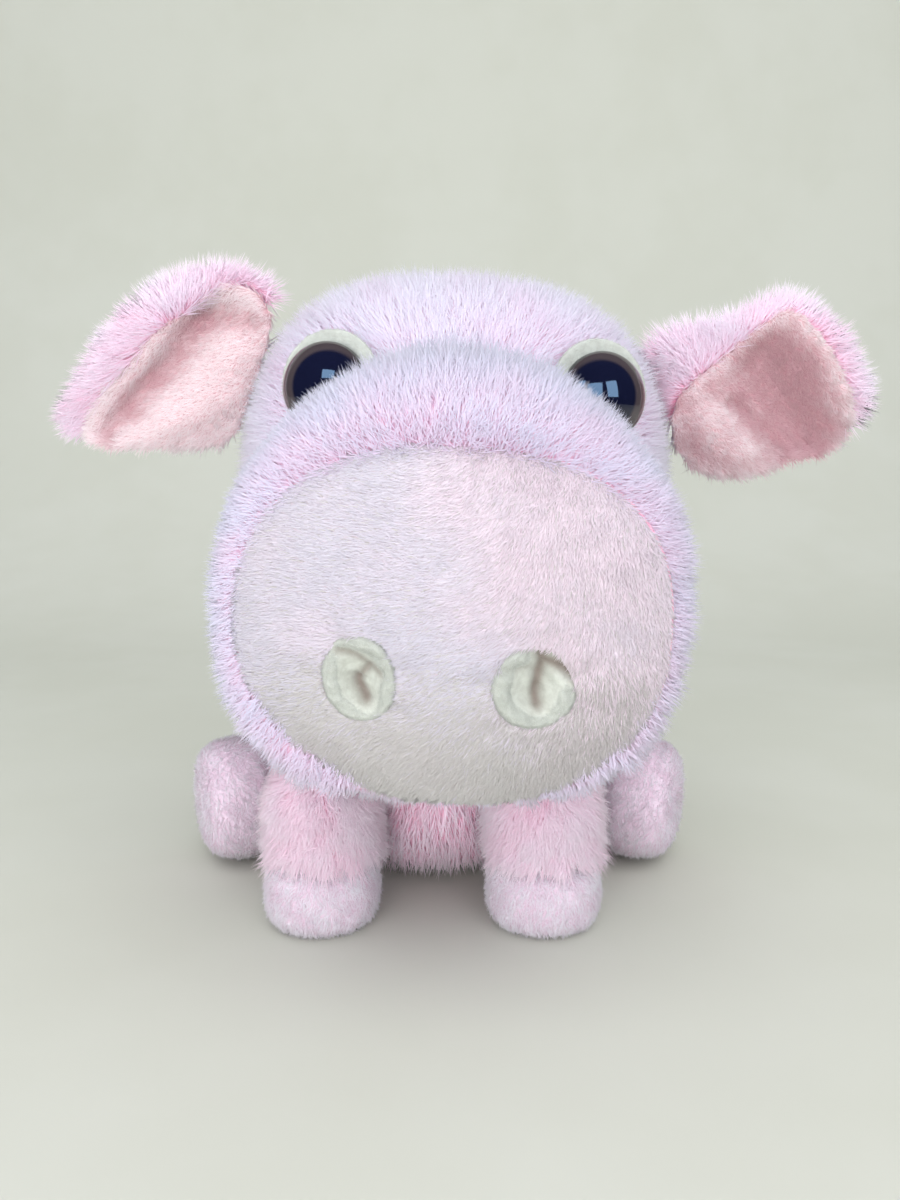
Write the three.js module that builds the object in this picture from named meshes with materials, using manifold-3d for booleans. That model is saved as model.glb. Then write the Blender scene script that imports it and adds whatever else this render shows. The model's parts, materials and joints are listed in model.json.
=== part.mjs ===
// A sitting plush pig with a very large head.
// Millimetres, +Z up, the snout points along -Y, +X is the pig's left and the viewer's right.
// The origin is the middle of the footprint box, on the surface that the toy sits on.

import * as THREE from 'three';
import { mergeVertices } from 'three/addons/utils/BufferGeometryUtils.js';
import Module from 'manifold-3d';

const wasm = await Module();
wasm.setup();

// Sizes, in mm.

// Common to all pieces.
const gap = 0.3;            // between two pieces that touch
const running = 0.8;        // round a ball that turns in its seat
const cloth = 5;            // skin with its packed pile, outer face to inner face
const settle = 0.5;         // how far a sole is pressed flat where the toy sits
const overrun = 8;          // how far a cutting solid runs past the face it cuts

// Head: a round, slightly boxy ball.
const head = {
  halfWidth: 79,
  halfDepth: 62,
  halfHeight: 78,
  centreY: 6,
  centreZ: 155,
  leanDegrees: 3.2,         // the whole head leans to the viewer's right
};
const headPowers = { across: 2.6, along: 2.3 };

// Neck: the head sits on a ball-shaped shoulder.
const neck = { x: 1.5, y: 45, z: 50, radius: 48 };

// Muzzle: the long-pile barrel behind the snout panel.
const muzzle = {
  halfWidth: 73.5,
  halfTop: 67.5,
  halfBottom: 68,
  drop: 23.5,               // below the middle of the head
  backY: -30,
  frontY: -97,
};
// Along the barrel: share of the length, of the half width, of the half height, and the rise of the
// centre as a share of the half height.
const muzzleShares = [
  [0.0, 0.8, 0.8, 0.02],
  [0.2, 0.87, 0.86, 0.01],
  [0.36, 0.92, 0.915, 0.0],
  [0.52, 0.97, 0.975, 0.0],
  [0.68, 1.0, 1.0, 0.0],
  [0.84, 0.975, 0.965, -0.02],
  [0.94, 0.905, 0.88, -0.06],
  [1.0, 0.82, 0.755, -0.13],
];
const muzzlePowers = { top: 2.05, bottom: 2.7 };
const muzzleZ = head.centreZ - muzzle.drop;

// Snout panel: a domed cushion front.
const panel = {
  halfWidth: 60.5,
  halfHeight: 50.5,
  centreX: 0.8,
  drop: 10.3,               // below the middle of the muzzle
  rimY: -96,
  tuck: 7,                  // the rim is tucked this far back into the barrel
  bulge: 12,                // how far the dome stands in front of its rim
  cloth: 4,
};
// Over the dome: share of the bulge and share of the half sizes.
const domeShares = [
  [0.0, 1.0],
  [0.26, 0.965],
  [0.5, 0.87],
  [0.7, 0.73],
  [0.86, 0.54],
  [0.96, 0.3],
];
const panelPower = 2.3;
const panelZ = muzzleZ - panel.drop;

// Nostril inserts: shallow felt dishes pulled into the panel.
const nostril = {
  radius: 10.6,
  x: 24,
  drop: 13.6,               // below the middle of the panel
  rim: 2,
  depth: 6,
  yawDegrees: 8,
  pitchDegrees: -7,
  sink: 0.6,                // the rim lies this far under the panel's face
};

// Eyes: a domed cap on a stem, a felt ring behind it and a lock washer inside the head.
const eye = {
  x: 45,
  shift: 1,                 // both eyes sit this far to the right
  rise: 36.6,               // above the middle of the head
  rightRise: 1.4,           // the right eye sits this much higher
  yawDegrees: 24,
  pitchDegrees: 6,
  radius: 12,
  height: 8.5,
  edge: 1.2,
  stemRadius: 2.5,
  stemLength: 15,
};
const felt = { radius: 15, thick: 1.6, rise: 1.2 };
const washer = { radius: 9, thick: 1.6 };

// Ears: a long-pile back and a short-pile lining, hung on a seam at the side of the head.
const ear = {
  rootInset: 3.8,           // in from the widest place of the head
  rootForward: 9,           // in front of the head's middle
  rootRise: 39.5,           // above the head's middle
  tiltDegrees: 20,
  reach: 68,
  spread: 60,
  beadRadius: 3,
  beadLength: 36,
  backThick: 10,
  liningThick: 4,
  cup: 9,
  sweepDegrees: 6,
};
// Outlines in the ear's own plane: shares of the reach outward and of the spread upward.
const leftBackShares = [
  [0.0, -0.42], [0.0, -0.1], [0.0, 0.2], [0.02, 0.42], [0.09, 0.56], [0.25, 0.565], [0.41, 0.48],
  [0.57, 0.32], [0.7, 0.08], [0.79, -0.2], [0.845, -0.48], [0.86, -0.68], [0.8, -0.78],
  [0.62, -0.72], [0.42, -0.65], [0.2, -0.55],
];
const leftLiningShares = [
  [0.03, -0.38], [0.03, -0.1], [0.04, 0.2], [0.08, 0.42], [0.2, 0.45], [0.34, 0.37],
  [0.47, 0.2], [0.57, -0.04], [0.635, -0.32], [0.68, -0.56], [0.68, -0.7],
  [0.52, -0.68], [0.36, -0.62], [0.16, -0.49],
];
const rightBackShares = [
  [0.0, -0.44], [0.0, -0.1], [0.0, 0.2], [0.03, 0.37], [0.22, 0.38], [0.44, 0.36],
  [0.62, 0.4], [0.74, 0.38], [0.85, 0.26], [0.94, 0.04], [0.995, -0.22], [0.98, -0.4],
  [0.86, -0.54], [0.66, -0.57], [0.42, -0.57], [0.16, -0.54],
];
const rightLiningShares = [
  [0.03, -0.38], [0.03, -0.18], [0.06, 0.0], [0.24, 0.1], [0.45, 0.21], [0.62, 0.29],
  [0.7, 0.28], [0.78, 0.12], [0.84, -0.1], [0.865, -0.3], [0.8, -0.45], [0.64, -0.53],
  [0.36, -0.52], [0.14, -0.47],
];

// Body: an egg that sits behind the front legs.
const body = { halfWidth: 52, halfDepth: 58, height: 80, centreY: 44 };
// Up the body: share of the height, of the half width, of the half depth, and the shift back as a
// share of the half depth.
const bodyShares = [
  [0.0, 0.56, 0.52, 0.15],
  [0.04, 0.76, 0.71, 0.12],
  [0.15, 0.92, 0.87, 0.06],
  [0.38, 1.0, 0.99, 0.0],
  [0.6, 0.99, 1.0, 0.0],
  [0.8, 0.9, 0.92, 0.04],
  [0.94, 0.72, 0.72, 0.1],
];
const bodyPower = 2.3;
const pouch = { halfWidth: 26, halfDepth: 24, halfHeight: 13, y: 52, z: 13 };

// Front legs: a ball at the shoulder, a straight sleeve and a short-pile hoof.
const frontLeg = {
  x: 40.8,
  shift: -1.6,              // both front legs sit this far to the left
  y: -20,
  z: 42,
  radius: 21,
  hemZ: 24,
  straight: 0.45,           // share of the sleeve before it widens to the hem
  hemHalfWidth: 22,
  hemHalfDepth: 22.5,
  roomDegrees: 16,          // room in the body for its swing to the back
  slack: 0.5,               // more room beside the sleeve than round the ball
};
const frontHoof = { halfWidth: 22.5, halfDepth: 24.5, forward: 2 };
// Up the hoof: share of the height and share of the half sizes.
const hoofShares = [
  [0.0, 0.8],
  [0.09, 0.91],
  [0.28, 0.985],
  [0.55, 1.0],
  [0.82, 0.97],
  [1.0, 0.9],
];

// Hind legs: they lie on the ground and point outward and forward.
const hindLeg = {
  x: 50,
  y: 50,
  z: 27,
  radius: 23.5,
  turnDegrees: 26,
  hem: 30,                  // from the hip to the end of the sleeve
  straight: 0.5,            // share of the sleeve before it widens to the hem
  length: 57,               // from the hip to the sole
  hemRadius: 26.5,
  roomDegrees: 16,          // room in the body for its swing to each side
  slack: 0.7,               // more room beside the sleeve than round the ball
};
const hindHoofShares = [
  [0.0, 0.99],
  [0.35, 1.0],
  [0.62, 0.97],
  [0.84, 0.86],
  [0.96, 0.66],
];
const roundPower = 2.2;

// Tail: one short curl.
const tail = {
  z: 52,
  rootRadius: 4.2,
  radius: 3.2,
  curl: 7.5,
  rise: 9,
  reach: 8,
  turnShare: 0.85,          // of a full turn
  rootShare: 0.12,          // of the root ball's radius stands outside the body
};

// Facets.
const faces = {
  around: 28,
  inner: 16,
  leg: 18,
  ear: 24,
  ring: 16,
  small: 12,
  tail: 6,
  tailSteps: 18,
  neckBall: 4,
  legBall: 3,
  innerBall: 2,
  tailBall: 1,
};

// Shape helpers.

// A closed body through rings of points, closed at both ends by fans.
function skinOver(rings) {
  const count = rings[0].length;
  const points = [];
  for (const ring of rings) {
    for (const p of ring) points.push(p.x, p.y, p.z);
  }
  const index = [];
  for (let r = 0; r + 1 < rings.length; r += 1) {
    for (let i = 0; i < count; i += 1) {
      const a = r * count + i;
      const b = r * count + ((i + 1) % count);
      index.push(a, b, a + count, b, b + count, a + count);
    }
  }
  for (const end of [0, rings.length - 1]) {
    const middle = new THREE.Vector3();
    for (const p of rings[end]) middle.addScaledVector(p, 1 / count);
    const tip = points.length / 3;
    points.push(middle.x, middle.y, middle.z);
    for (let i = 0; i < count; i += 1) {
      const a = end * count + i;
      const b = end * count + ((i + 1) % count);
      if (end === 0) index.push(b, a, tip);
      else index.push(a, b, tip);
    }
  }
  const geometry = new THREE.BufferGeometry();
  geometry.setAttribute('position', new THREE.Float32BufferAttribute(points, 3));
  geometry.setIndex(index);
  return outward(geometry);
}

// Turns the faces so that they point out.
function outward(geometry) {
  const at = geometry.getAttribute('position');
  const index = geometry.getIndex().array;
  const [a, b, c] = [new THREE.Vector3(), new THREE.Vector3(), new THREE.Vector3()];
  let volume = 0;
  for (let i = 0; i < index.length; i += 3) {
    a.fromBufferAttribute(at, index[i]);
    b.fromBufferAttribute(at, index[i + 1]);
    c.fromBufferAttribute(at, index[i + 2]);
    volume += a.dot(b.cross(c));
  }
  if (volume < 0) {
    for (let i = 0; i < index.length; i += 3) {
      [index[i], index[i + 1]] = [index[i + 1], index[i]];
    }
  }
  return geometry;
}

function solid(geometry) {
  const bare = geometry.clone();
  bare.deleteAttribute('normal');
  bare.deleteAttribute('uv');
  const merged = mergeVertices(bare);
  return new wasm.Manifold(new wasm.Mesh({
    numProp: 3,
    vertProperties: new Float32Array(merged.getAttribute('position').array),
    triVerts: new Uint32Array(merged.getIndex().array),
  }));
}

function geometryOf(manifold) {
  const mesh = manifold.getMesh();
  const geometry = new THREE.BufferGeometry();
  geometry.setAttribute('position', new THREE.BufferAttribute(mesh.vertProperties, 3));
  geometry.setIndex(new THREE.BufferAttribute(mesh.triVerts, 1));
  geometry.computeVertexNormals();
  return geometry;
}

const radians = THREE.MathUtils.degToRad;
const signedPower = (value, power) => Math.sign(value) * Math.abs(value) ** power;

// One rounded outline: half sizes a and b, with its own power above and below the middle.
function outline(count, a, b, topPower, bottomPower = topPower, bBelow = b) {
  const ring = [];
  for (let i = 0; i < count; i += 1) {
    const angle = (2 * Math.PI * i) / count;
    const up = Math.sin(angle) >= 0;
    const power = 2 / (up ? topPower : bottomPower);
    ring.push([
      a * signedPower(Math.cos(angle), power),
      (up ? b : bBelow) * signedPower(Math.sin(angle), power),
    ]);
  }
  return ring;
}

// A smooth pass through a table of shares.
function along(table, steps) {
  const rows = [];
  const last = table.length - 1;
  for (let s = 0; s <= steps; s += 1) {
    const t = (last * s) / steps;
    const i = Math.min(Math.floor(t), last - 1);
    const f = t - i;
    const row = table[i].map((value, k) => {
      const before = table[Math.max(i - 1, 0)][k];
      const next = table[i + 1][k];
      const after = table[Math.min(i + 2, last)][k];
      const m0 = (next - before) / 2;
      const m1 = (after - value) / 2;
      const f2 = f * f;
      const f3 = f2 * f;
      return (2 * f3 - 3 * f2 + 1) * value + (f3 - 2 * f2 + f) * m0
        + (3 * f2 - 2 * f3) * next + (f3 - f2) * m1;
    });
    rows.push(row);
  }
  return rows;
}

function ballAt(x, y, z, radius, detail) {
  const geometry = new THREE.IcosahedronGeometry(radius, detail);
  geometry.translate(x, y, z);
  return solid(mergeVertices(geometry));
}

// A cylinder along +Z from the origin, then moved by a matrix.
function rod(radius, from, to, matrix, around = faces.ring) {
  const geometry = new THREE.CylinderGeometry(radius, radius, to - from, around);
  geometry.rotateX(Math.PI / 2);
  geometry.translate(0, 0, (from + to) / 2);
  geometry.applyMatrix4(matrix);
  return solid(geometry);
}

function turned(profile, matrix, around = faces.ring) {
  const geometry = new THREE.LatheGeometry(profile.map(([x, y]) => new THREE.Vector2(x, y)), around);
  geometry.rotateX(Math.PI / 2);
  geometry.applyMatrix4(matrix);
  const bare = geometry.clone();
  bare.deleteAttribute('normal');
  bare.deleteAttribute('uv');
  return solid(outward(mergeVertices(bare)));
}

function halfSpaceBelow(z) {
  const size = 2 * (head.halfWidth + ear.reach + neck.radius);
  const geometry = new THREE.BoxGeometry(size, size, size);
  geometry.translate(0, 0, z - size / 2);
  return solid(geometry);
}

// A frame whose +Z points outward from the face: yaw turns it outward, pitch tips it up.
function facing(x, y, z, yawDegrees, pitchDegrees) {
  const yaw = radians(yawDegrees);
  const pitch = radians(pitchDegrees);
  const normal = new THREE.Vector3(
    Math.sin(yaw) * Math.cos(pitch),
    -Math.cos(yaw) * Math.cos(pitch),
    Math.sin(pitch),
  );
  const right = new THREE.Vector3(Math.cos(yaw), Math.sin(yaw), 0);
  const up = new THREE.Vector3().crossVectors(normal, right);
  const matrix = new THREE.Matrix4().makeBasis(right, up, normal);
  return matrix.setPosition(x, y, z);
}

// The head's forms.

// The head ball, grown by a margin on all sides.
function headBall(grow, around = faces.around, steps = 11) {
  const a = head.halfWidth + grow;
  const b = head.halfDepth + grow;
  const c = head.halfHeight + grow;
  const rings = [];
  for (let s = 0; s <= steps; s += 1) {
    const angle = Math.PI * (0.04 + (0.92 * s) / steps);
    const shift = -Math.cos(angle);
    const size = (1 - Math.abs(shift) ** headPowers.along) ** (1 / headPowers.along);
    const y = head.centreY + b * shift;
    rings.push(outline(around, a * size, c * size, headPowers.across)
      .map(([x, z]) => new THREE.Vector3(x, y, head.centreZ + z)));
  }
  return solid(skinOver(rings));
}

// How far in front of the head's middle plane its face lies at one place.
function headFaceY(x, z) {
  const { across, along: power } = headPowers;
  const size = (Math.abs(x / head.halfWidth) ** across
    + Math.abs((z - head.centreZ) / head.halfHeight) ** across) ** (1 / across);
  return head.centreY - head.halfDepth * (1 - size ** power) ** (1 / power);
}

function muzzleBarrel(grow, around = faces.around, steps = 8) {
  const length = muzzle.backY - muzzle.frontY;
  const middle = (muzzle.backY + muzzle.frontY) / 2;
  const rings = along(muzzleShares, steps).map(([place, wide, tall, rise]) => {
    const y = middle + (0.5 - place) * (length + 2 * grow);
    const centre = muzzleZ + rise * muzzle.halfTop;
    return outline(
      around,
      wide * (muzzle.halfWidth + grow),
      tall * (muzzle.halfTop + grow),
      muzzlePowers.top,
      muzzlePowers.bottom,
      tall * (muzzle.halfBottom + grow),
    ).map(([x, z]) => new THREE.Vector3(x, y, centre + z));
  });
  return solid(skinOver(rings));
}

// The panel's cushion; a longer tail makes the inner form run out at the back.
function panelDome(grow, tailLength, around = faces.around, steps = 6) {
  const a = panel.halfWidth + grow;
  const c = panel.halfHeight + grow;
  const ringAt = (y, size) => outline(around, a * size, c * size, panelPower)
    .map(([x, z]) => new THREE.Vector3(panel.centreX + x, y, panelZ + z));
  const rings = [ringAt(panel.rimY + tailLength, 1)];
  for (const [place, size] of along(domeShares, steps)) {
    rings.push(ringAt(panel.rimY - place * (panel.bulge + grow), size));
  }
  return solid(skinOver(rings));
}

// Where the dome's face lies at one place.
function panelFaceY(x, z) {
  const size = (Math.abs((x - panel.centreX) / panel.halfWidth) ** panelPower
    + Math.abs((z - panelZ) / panel.halfHeight) ** panelPower) ** (1 / panelPower);
  const rows = along(domeShares, 60);
  const row = rows.find(([, share]) => share <= size) ?? rows[rows.length - 1];
  return panel.rimY - row[0] * panel.bulge;
}

const neckBall = (grow, detail = faces.neckBall) => ballAt(
  neck.x, neck.y, neck.z, neck.radius + grow, detail,
);

// The head's pieces are drawn upright and lean about the neck.
const lean = new THREE.Matrix4()
  .makeTranslation(neck.x, neck.y, neck.z)
  .multiply(new THREE.Matrix4().makeRotationY(radians(head.leanDegrees)))
  .multiply(new THREE.Matrix4().makeTranslation(-neck.x, -neck.y, -neck.z));

const sides = [['left', -1], ['right', 1]];

function eyeFrame(side) {
  const x = side * eye.x + eye.shift;
  const z = head.centreZ + eye.rise + (side > 0 ? eye.rightRise : 0);
  return facing(x, headFaceY(x, z), z, side * eye.yawDegrees, eye.pitchDegrees);
}

function nostrilFrame(side) {
  const z = panelZ - nostril.drop;
  const y = panelFaceY(nostril.x, z);
  return facing(side * nostril.x, y, z, side * nostril.yawDegrees, nostril.pitchDegrees);
}

// Depths along the eye's own axis, measured from the head's face.
const seatDepth = (felt.radius ** 2) / (2 * head.halfDepth);
const feltBack = -seatDepth + gap;
const feltFront = feltBack + felt.thick;
const eyeBack = feltFront + gap;
const washerFront = -seatDepth - cloth - gap;
const washerBack = washerFront - washer.thick;
const stemEnd = eyeBack - eye.stemLength;

function feltDisc(side, grow) {
  const raised = eyeFrame(side).multiply(new THREE.Matrix4().makeTranslation(0, felt.rise, 0));
  return rod(felt.radius + grow, feltBack - grow, feltFront + grow, raised);
}

function eyeCap(side, grow) {
  const profile = [[0, stemEnd - grow], [eye.stemRadius + grow, stemEnd - grow]];
  profile.push([eye.stemRadius + grow, eyeBack - grow], [eye.radius + grow, eyeBack - grow]);
  const lip = eyeBack + eye.edge;
  for (let i = 0; i < 6; i += 1) {
    const angle = (Math.PI / 2) * (i / 6);
    profile.push([
      (eye.radius + grow) * Math.cos(angle),
      lip + (eye.height - eye.edge + grow) * Math.sin(angle),
    ]);
  }
  profile.push([0, eyeBack + eye.height + grow]);
  return turned(profile, eyeFrame(side));
}

const washerDisc = (side, grow) => rod(
  washer.radius + grow, washerBack - grow, washerFront + grow, eyeFrame(side),
);

const stemHole = (side) => rod(
  eye.stemRadius + gap, stemEnd - gap, eye.height, eyeFrame(side), faces.small,
);

// The flat seat under the felt, and the room in front of it.
function feltSeat(side) {
  const raised = eyeFrame(side).multiply(new THREE.Matrix4().makeTranslation(0, felt.rise, 0));
  return rod(felt.radius + gap, -seatDepth, eye.height + overrun, raised);
}

function nostrilDish(side, grow) {
  const outer = nostril.radius + grow;
  const front = -nostril.sink;
  const back = front - nostril.depth - grow;
  if (grow > 0) {
    return rod(outer, back, front + overrun, nostrilFrame(side));
  }
  const inner = nostril.radius - nostril.rim;
  const profile = [
    [0, back],
    [0.6 * outer, back],
    [0.9 * outer, back + 0.25 * nostril.depth],
    [outer, back + 0.6 * nostril.depth],
    [outer, front - 0.25 * nostril.rim],
    [outer - 0.4 * nostril.rim, front],
    [inner, front - 0.35 * nostril.rim],
    [0.78 * inner, front - 0.4 * nostril.depth],
    [0.4 * inner, back + nostril.rim],
    [0, back + 0.8 * nostril.rim],
  ];
  return turned(profile, nostrilFrame(side), faces.ring);
}

// Ears.

// The ear's own frame: +X outward along the ear, +Y up the seam, +Z forward.
function earFrame(side) {
  const tilt = radians(ear.tiltDegrees);
  const sweep = radians(ear.sweepDegrees);
  const seam = new THREE.Vector3(-side * Math.sin(tilt), 0, Math.cos(tilt));
  const flat = new THREE.Vector3(side * Math.cos(tilt), 0, Math.sin(tilt));
  const out = flat.clone().applyAxisAngle(seam, -side * sweep);
  const front = new THREE.Vector3().crossVectors(out, seam).multiplyScalar(side);
  return new THREE.Matrix4().makeBasis(out, seam, front)
    .setPosition(
      side * (head.halfWidth - ear.rootInset),
      head.centreY - ear.rootForward,
      head.centreZ + ear.rootRise,
    );
}

// A leaf between two faces: it is cupped along a line from the top of the root to the tip.
function earLeaf(shares, thick, rise, grow, frame) {
  const curve = new THREE.CatmullRomCurve3(
    shares.map(([u, v]) => new THREE.Vector3(u * ear.reach, v * ear.spread, 0)), true, 'centripetal',
  );
  const rim = curve.getSpacedPoints(faces.ear).slice(0, faces.ear);
  const middle = new THREE.Vector3();
  for (const p of rim) middle.addScaledVector(p, 1 / rim.length);
  const valley = new THREE.Vector2(0.8, -1).normalize();
  const cupAt = (x, y) => {
    const dx = x - 0.34 * ear.reach;
    const dy = y + 0.02 * ear.spread;
    const off = dx * valley.y - dy * valley.x;
    const fade = Math.min(Math.max(x / (0.3 * ear.reach), 0), 1);
    return ear.cup * (1 - Math.exp(-((off / (0.3 * ear.spread)) ** 2))) * fade - ear.cup * 0.5 * fade;
  };
  const steps = 4;
  const ringAt = (share, face) => rim.map((p) => {
    const far = p.clone().sub(middle);
    far.setLength(far.length() + grow);
    const q = middle.clone().addScaledVector(far, share);
    const half = (thick / 2 + grow) * Math.sqrt(1 - share ** 3.2);
    return new THREE.Vector3(q.x, q.y, cupAt(q.x, q.y) + rise + face * half);
  });
  const rings = [];
  for (let s = 1; s < steps; s += 1) rings.push(ringAt(s / steps, 1));
  rings.push(ringAt(0.95, 1));
  rings.push(ringAt(1, 0));
  rings.push(ringAt(0.95, -1));
  for (let s = steps - 1; s > 0; s -= 1) rings.push(ringAt(s / steps, -1));
  const geometry = skinOver(rings);
  geometry.applyMatrix4(frame);
  return solid(outward(geometry));
}

// The seam bead: a rod with round ends along the seam.
function seamBead(side, grow) {
  const geometry = new THREE.CapsuleGeometry(ear.beadRadius + grow, ear.beadLength, 3, faces.small);
  geometry.applyMatrix4(earFrame(side));
  const bare = geometry.clone();
  bare.deleteAttribute('normal');
  bare.deleteAttribute('uv');
  return solid(outward(mergeVertices(bare)));
}

function earPieces(side, backShares, liningShares) {
  const frame = earFrame(side);
  const liningRise = ear.backThick / 2 - ear.liningThick / 4;
  const lining = earLeaf(liningShares, ear.liningThick, liningRise, 0, frame);
  const room = earLeaf(liningShares, ear.liningThick, liningRise, gap, frame);
  const back = earLeaf(backShares, ear.backThick, 0, 0, frame)
    .add(seamBead(side, 0))
    .subtract(room);
  return { back, lining: lining.subtract(seamBead(side, gap)) };
}

// Body and legs.

function bodyEgg(grow, around = faces.around, steps = 9) {
  const middle = (body.height - settle) / 2;
  const half = (body.height + settle) / 2;
  const rings = along(bodyShares, steps).map(([place, wide, deep, back]) => {
    const z = middle + (2 * place - 1) * (half + grow);
    const y = body.centreY + back * body.halfDepth;
    return outline(
      around, wide * (body.halfWidth + grow), deep * (body.halfDepth + grow), bodyPower,
    ).map(([x, dy]) => new THREE.Vector3(x, y + dy, z));
  });
  return solid(skinOver(rings));
}

const bodyForm = (grow) => (grow < 0
  ? bodyEgg(grow, faces.inner, 7).add(neckBall(grow, faces.innerBall))
  : bodyEgg(grow).add(neckBall(grow)));

// A limb along +Z of its own frame: a round end at the joint, then a sleeve through its stations.
// Each station is the place along the limb, the half sizes there and the centre's shift along Y.
function limbForm(radius, stations, frame, grow) {
  const [around, caps] = grow < 0 ? [faces.inner, 4] : [faces.leg, 6];
  const rings = [];
  for (let c = 1; c <= caps; c += 1) {
    const angle = (Math.PI / 2) * (c / caps);
    const r = (radius + grow) * Math.sin(angle);
    rings.push([-(radius + grow) * Math.cos(angle), r, r, 0]);
  }
  for (const [place, wide, deep, shift = 0] of stations) {
    rings.push([place, wide + grow, deep + grow, shift]);
  }
  const geometry = skinOver(rings.map(([z, wide, deep, shift]) => outline(around, wide, deep, 2)
    .map(([x, y]) => new THREE.Vector3(x, y + shift, z))));
  geometry.applyMatrix4(frame);
  return solid(outward(geometry));
}

// The front leg's frame: +Z runs down from the shoulder.
function frontFrame(side) {
  return new THREE.Matrix4()
    .makeBasis(new THREE.Vector3(1, 0, 0), new THREE.Vector3(0, -1, 0), new THREE.Vector3(0, 0, -1))
    .setPosition(side * frontLeg.x + frontLeg.shift, frontLeg.y, frontLeg.z);
}

function frontLegForm(side, grow, below) {
  const drop = frontLeg.z - frontLeg.hemZ;
  const stations = [
    [frontLeg.straight * drop, frontLeg.radius, frontLeg.radius],
    [drop, frontLeg.hemHalfWidth, frontLeg.hemHalfDepth],
  ];
  if (below) stations.push([drop + below, frontLeg.hemHalfWidth, frontLeg.hemHalfDepth]);
  return limbForm(frontLeg.radius, stations, frontFrame(side), grow);
}

// The room that the leg needs in the body when it swings back.
function frontLegRoom(side) {
  const slope = Math.tan(radians(frontLeg.roomDegrees));
  const stations = [0, 1].map((share) => {
    const extra = share * frontLeg.z * slope;
    const deep = frontLeg.hemHalfDepth + extra / 2;
    return [share * frontLeg.z, frontHoof.halfWidth + frontLeg.slack, deep + frontLeg.slack, -extra / 2];
  });
  return limbForm(frontLeg.radius, stations, frontFrame(side), running);
}

function frontHoofForm(side, grow) {
  const centreY = frontLeg.y - frontHoof.forward;
  const top = frontLeg.hemZ - gap;
  const middle = (top - settle) / 2;
  const half = (top + settle) / 2;
  const rings = along(hoofShares, 6).map(([place, size]) => {
    const z = middle + (2 * place - 1) * (half + grow);
    return outline(
      faces.leg, size * (frontHoof.halfWidth + grow), size * (frontHoof.halfDepth + grow), roundPower,
    ).map(([x, dy]) => new THREE.Vector3(
      side * frontLeg.x + frontLeg.shift + x, centreY + dy, z,
    ));
  });
  return solid(skinOver(rings));
}

// The hind leg's frame: +Z runs from the hip to the sole.
function hindFrame(side) {
  const turn = radians(hindLeg.turnDegrees);
  const out = new THREE.Vector3(side * Math.cos(turn), -Math.sin(turn), 0);
  const up = new THREE.Vector3(0, 0, 1);
  const across = new THREE.Vector3().crossVectors(up, out);
  return new THREE.Matrix4().makeBasis(across, up, out)
    .setPosition(side * hindLeg.x, hindLeg.y, hindLeg.z);
}

function hindSleeveForm(side, grow, past) {
  const stations = [
    [hindLeg.straight * hindLeg.hem, hindLeg.radius, hindLeg.radius],
    [hindLeg.hem, hindLeg.hemRadius, hindLeg.hemRadius],
  ];
  if (past) stations.push([hindLeg.hem + past, hindLeg.hemRadius, hindLeg.hemRadius]);
  return limbForm(hindLeg.radius, stations, hindFrame(side), grow);
}

// The room that the leg needs in the body when it swings to both sides.
function hindLegRoom(side) {
  const swing = radians(hindLeg.roomDegrees);
  const stations = [0, 1].map((share) => {
    const place = share * hindLeg.hem;
    const radius = hindLeg.radius + share * (hindLeg.hemRadius - hindLeg.radius);
    const wide = radius / Math.cos(swing) + place * Math.tan(swing);
    return [place, wide + hindLeg.slack, radius + hindLeg.slack];
  });
  return limbForm(hindLeg.radius, stations, hindFrame(side), running);
}

function hindHoofForm(side, grow, early) {
  const start = hindLeg.hem + gap - early;
  const rings = along(hindHoofShares, 7).map(([place, size]) => {
    const radius = size * (hindLeg.hemRadius + grow);
    const z = start + place * (hindLeg.length + grow - start);
    return outline(faces.leg, radius, radius, roundPower).map(([x, y]) => new THREE.Vector3(x, y, z));
  });
  const geometry = skinOver(rings);
  geometry.applyMatrix4(hindFrame(side));
  return solid(outward(geometry));
}

// Tail.

const bodyBackY = body.centreY + bodyShares[4][3] * body.halfDepth + body.halfDepth;
const tailY = bodyBackY - tail.rootShare * tail.rootRadius;
const tailBall = (grow) => ballAt(0, tailY, tail.z, tail.rootRadius + grow, faces.tailBall);

function tailCurl() {
  const places = [];
  const stops = 11;
  for (let i = 0; i <= stops; i += 1) {
    const t = i / stops;
    const angle = 2 * Math.PI * tail.turnShare * t;
    const ease = Math.min(3 * t, 1);
    places.push(new THREE.Vector3(
      ease * tail.curl * Math.sin(angle),
      tailY + tail.rootRadius + tail.reach * Math.sqrt(t),
      tail.z + ease * tail.curl * (1 - Math.cos(angle)) + tail.rise * t,
    ));
  }
  const route = new THREE.CatmullRomCurve3([new THREE.Vector3(0, tailY, tail.z), ...places]);
  const section = new THREE.Shape(outline(faces.tail, tail.radius, tail.radius, 2)
    .map(([x, y]) => new THREE.Vector2(x, y)));
  const geometry = new THREE.ExtrudeGeometry(section, {
    steps: faces.tailSteps, extrudePath: route, bevelEnabled: false,
  });
  const bare = geometry.clone();
  bare.deleteAttribute('normal');
  bare.deleteAttribute('uv');
  return solid(outward(mergeVertices(bare)));
}

// Finishes.

const finish = (color, roughness) => new THREE.MeshStandardMaterial({
  color, roughness, metalness: 0,
});
const finishes = {
  pile: () => finish(0xe8dcea, 0.95),
  muzzle: () => finish(0xe0d7e1, 0.95),
  panel: () => finish(0xddd0d8, 0.9),
  nostril: () => finish(0xdfe3d8, 0.95),
  dome: () => finish(0x15172a, 0.08),
  felt: () => finish(0xcdd4c8, 0.95),
  washer: () => finish(0xf0f0ee, 0.4),
  lining: () => finish(0xe2bebe, 0.9),
  hoof: () => finish(0xd8c9dc, 0.92),
  stuffing: () => finish(0xf6f6f4, 1),
  pouch: () => finish(0xcfc8bc, 0.95),
};

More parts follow.
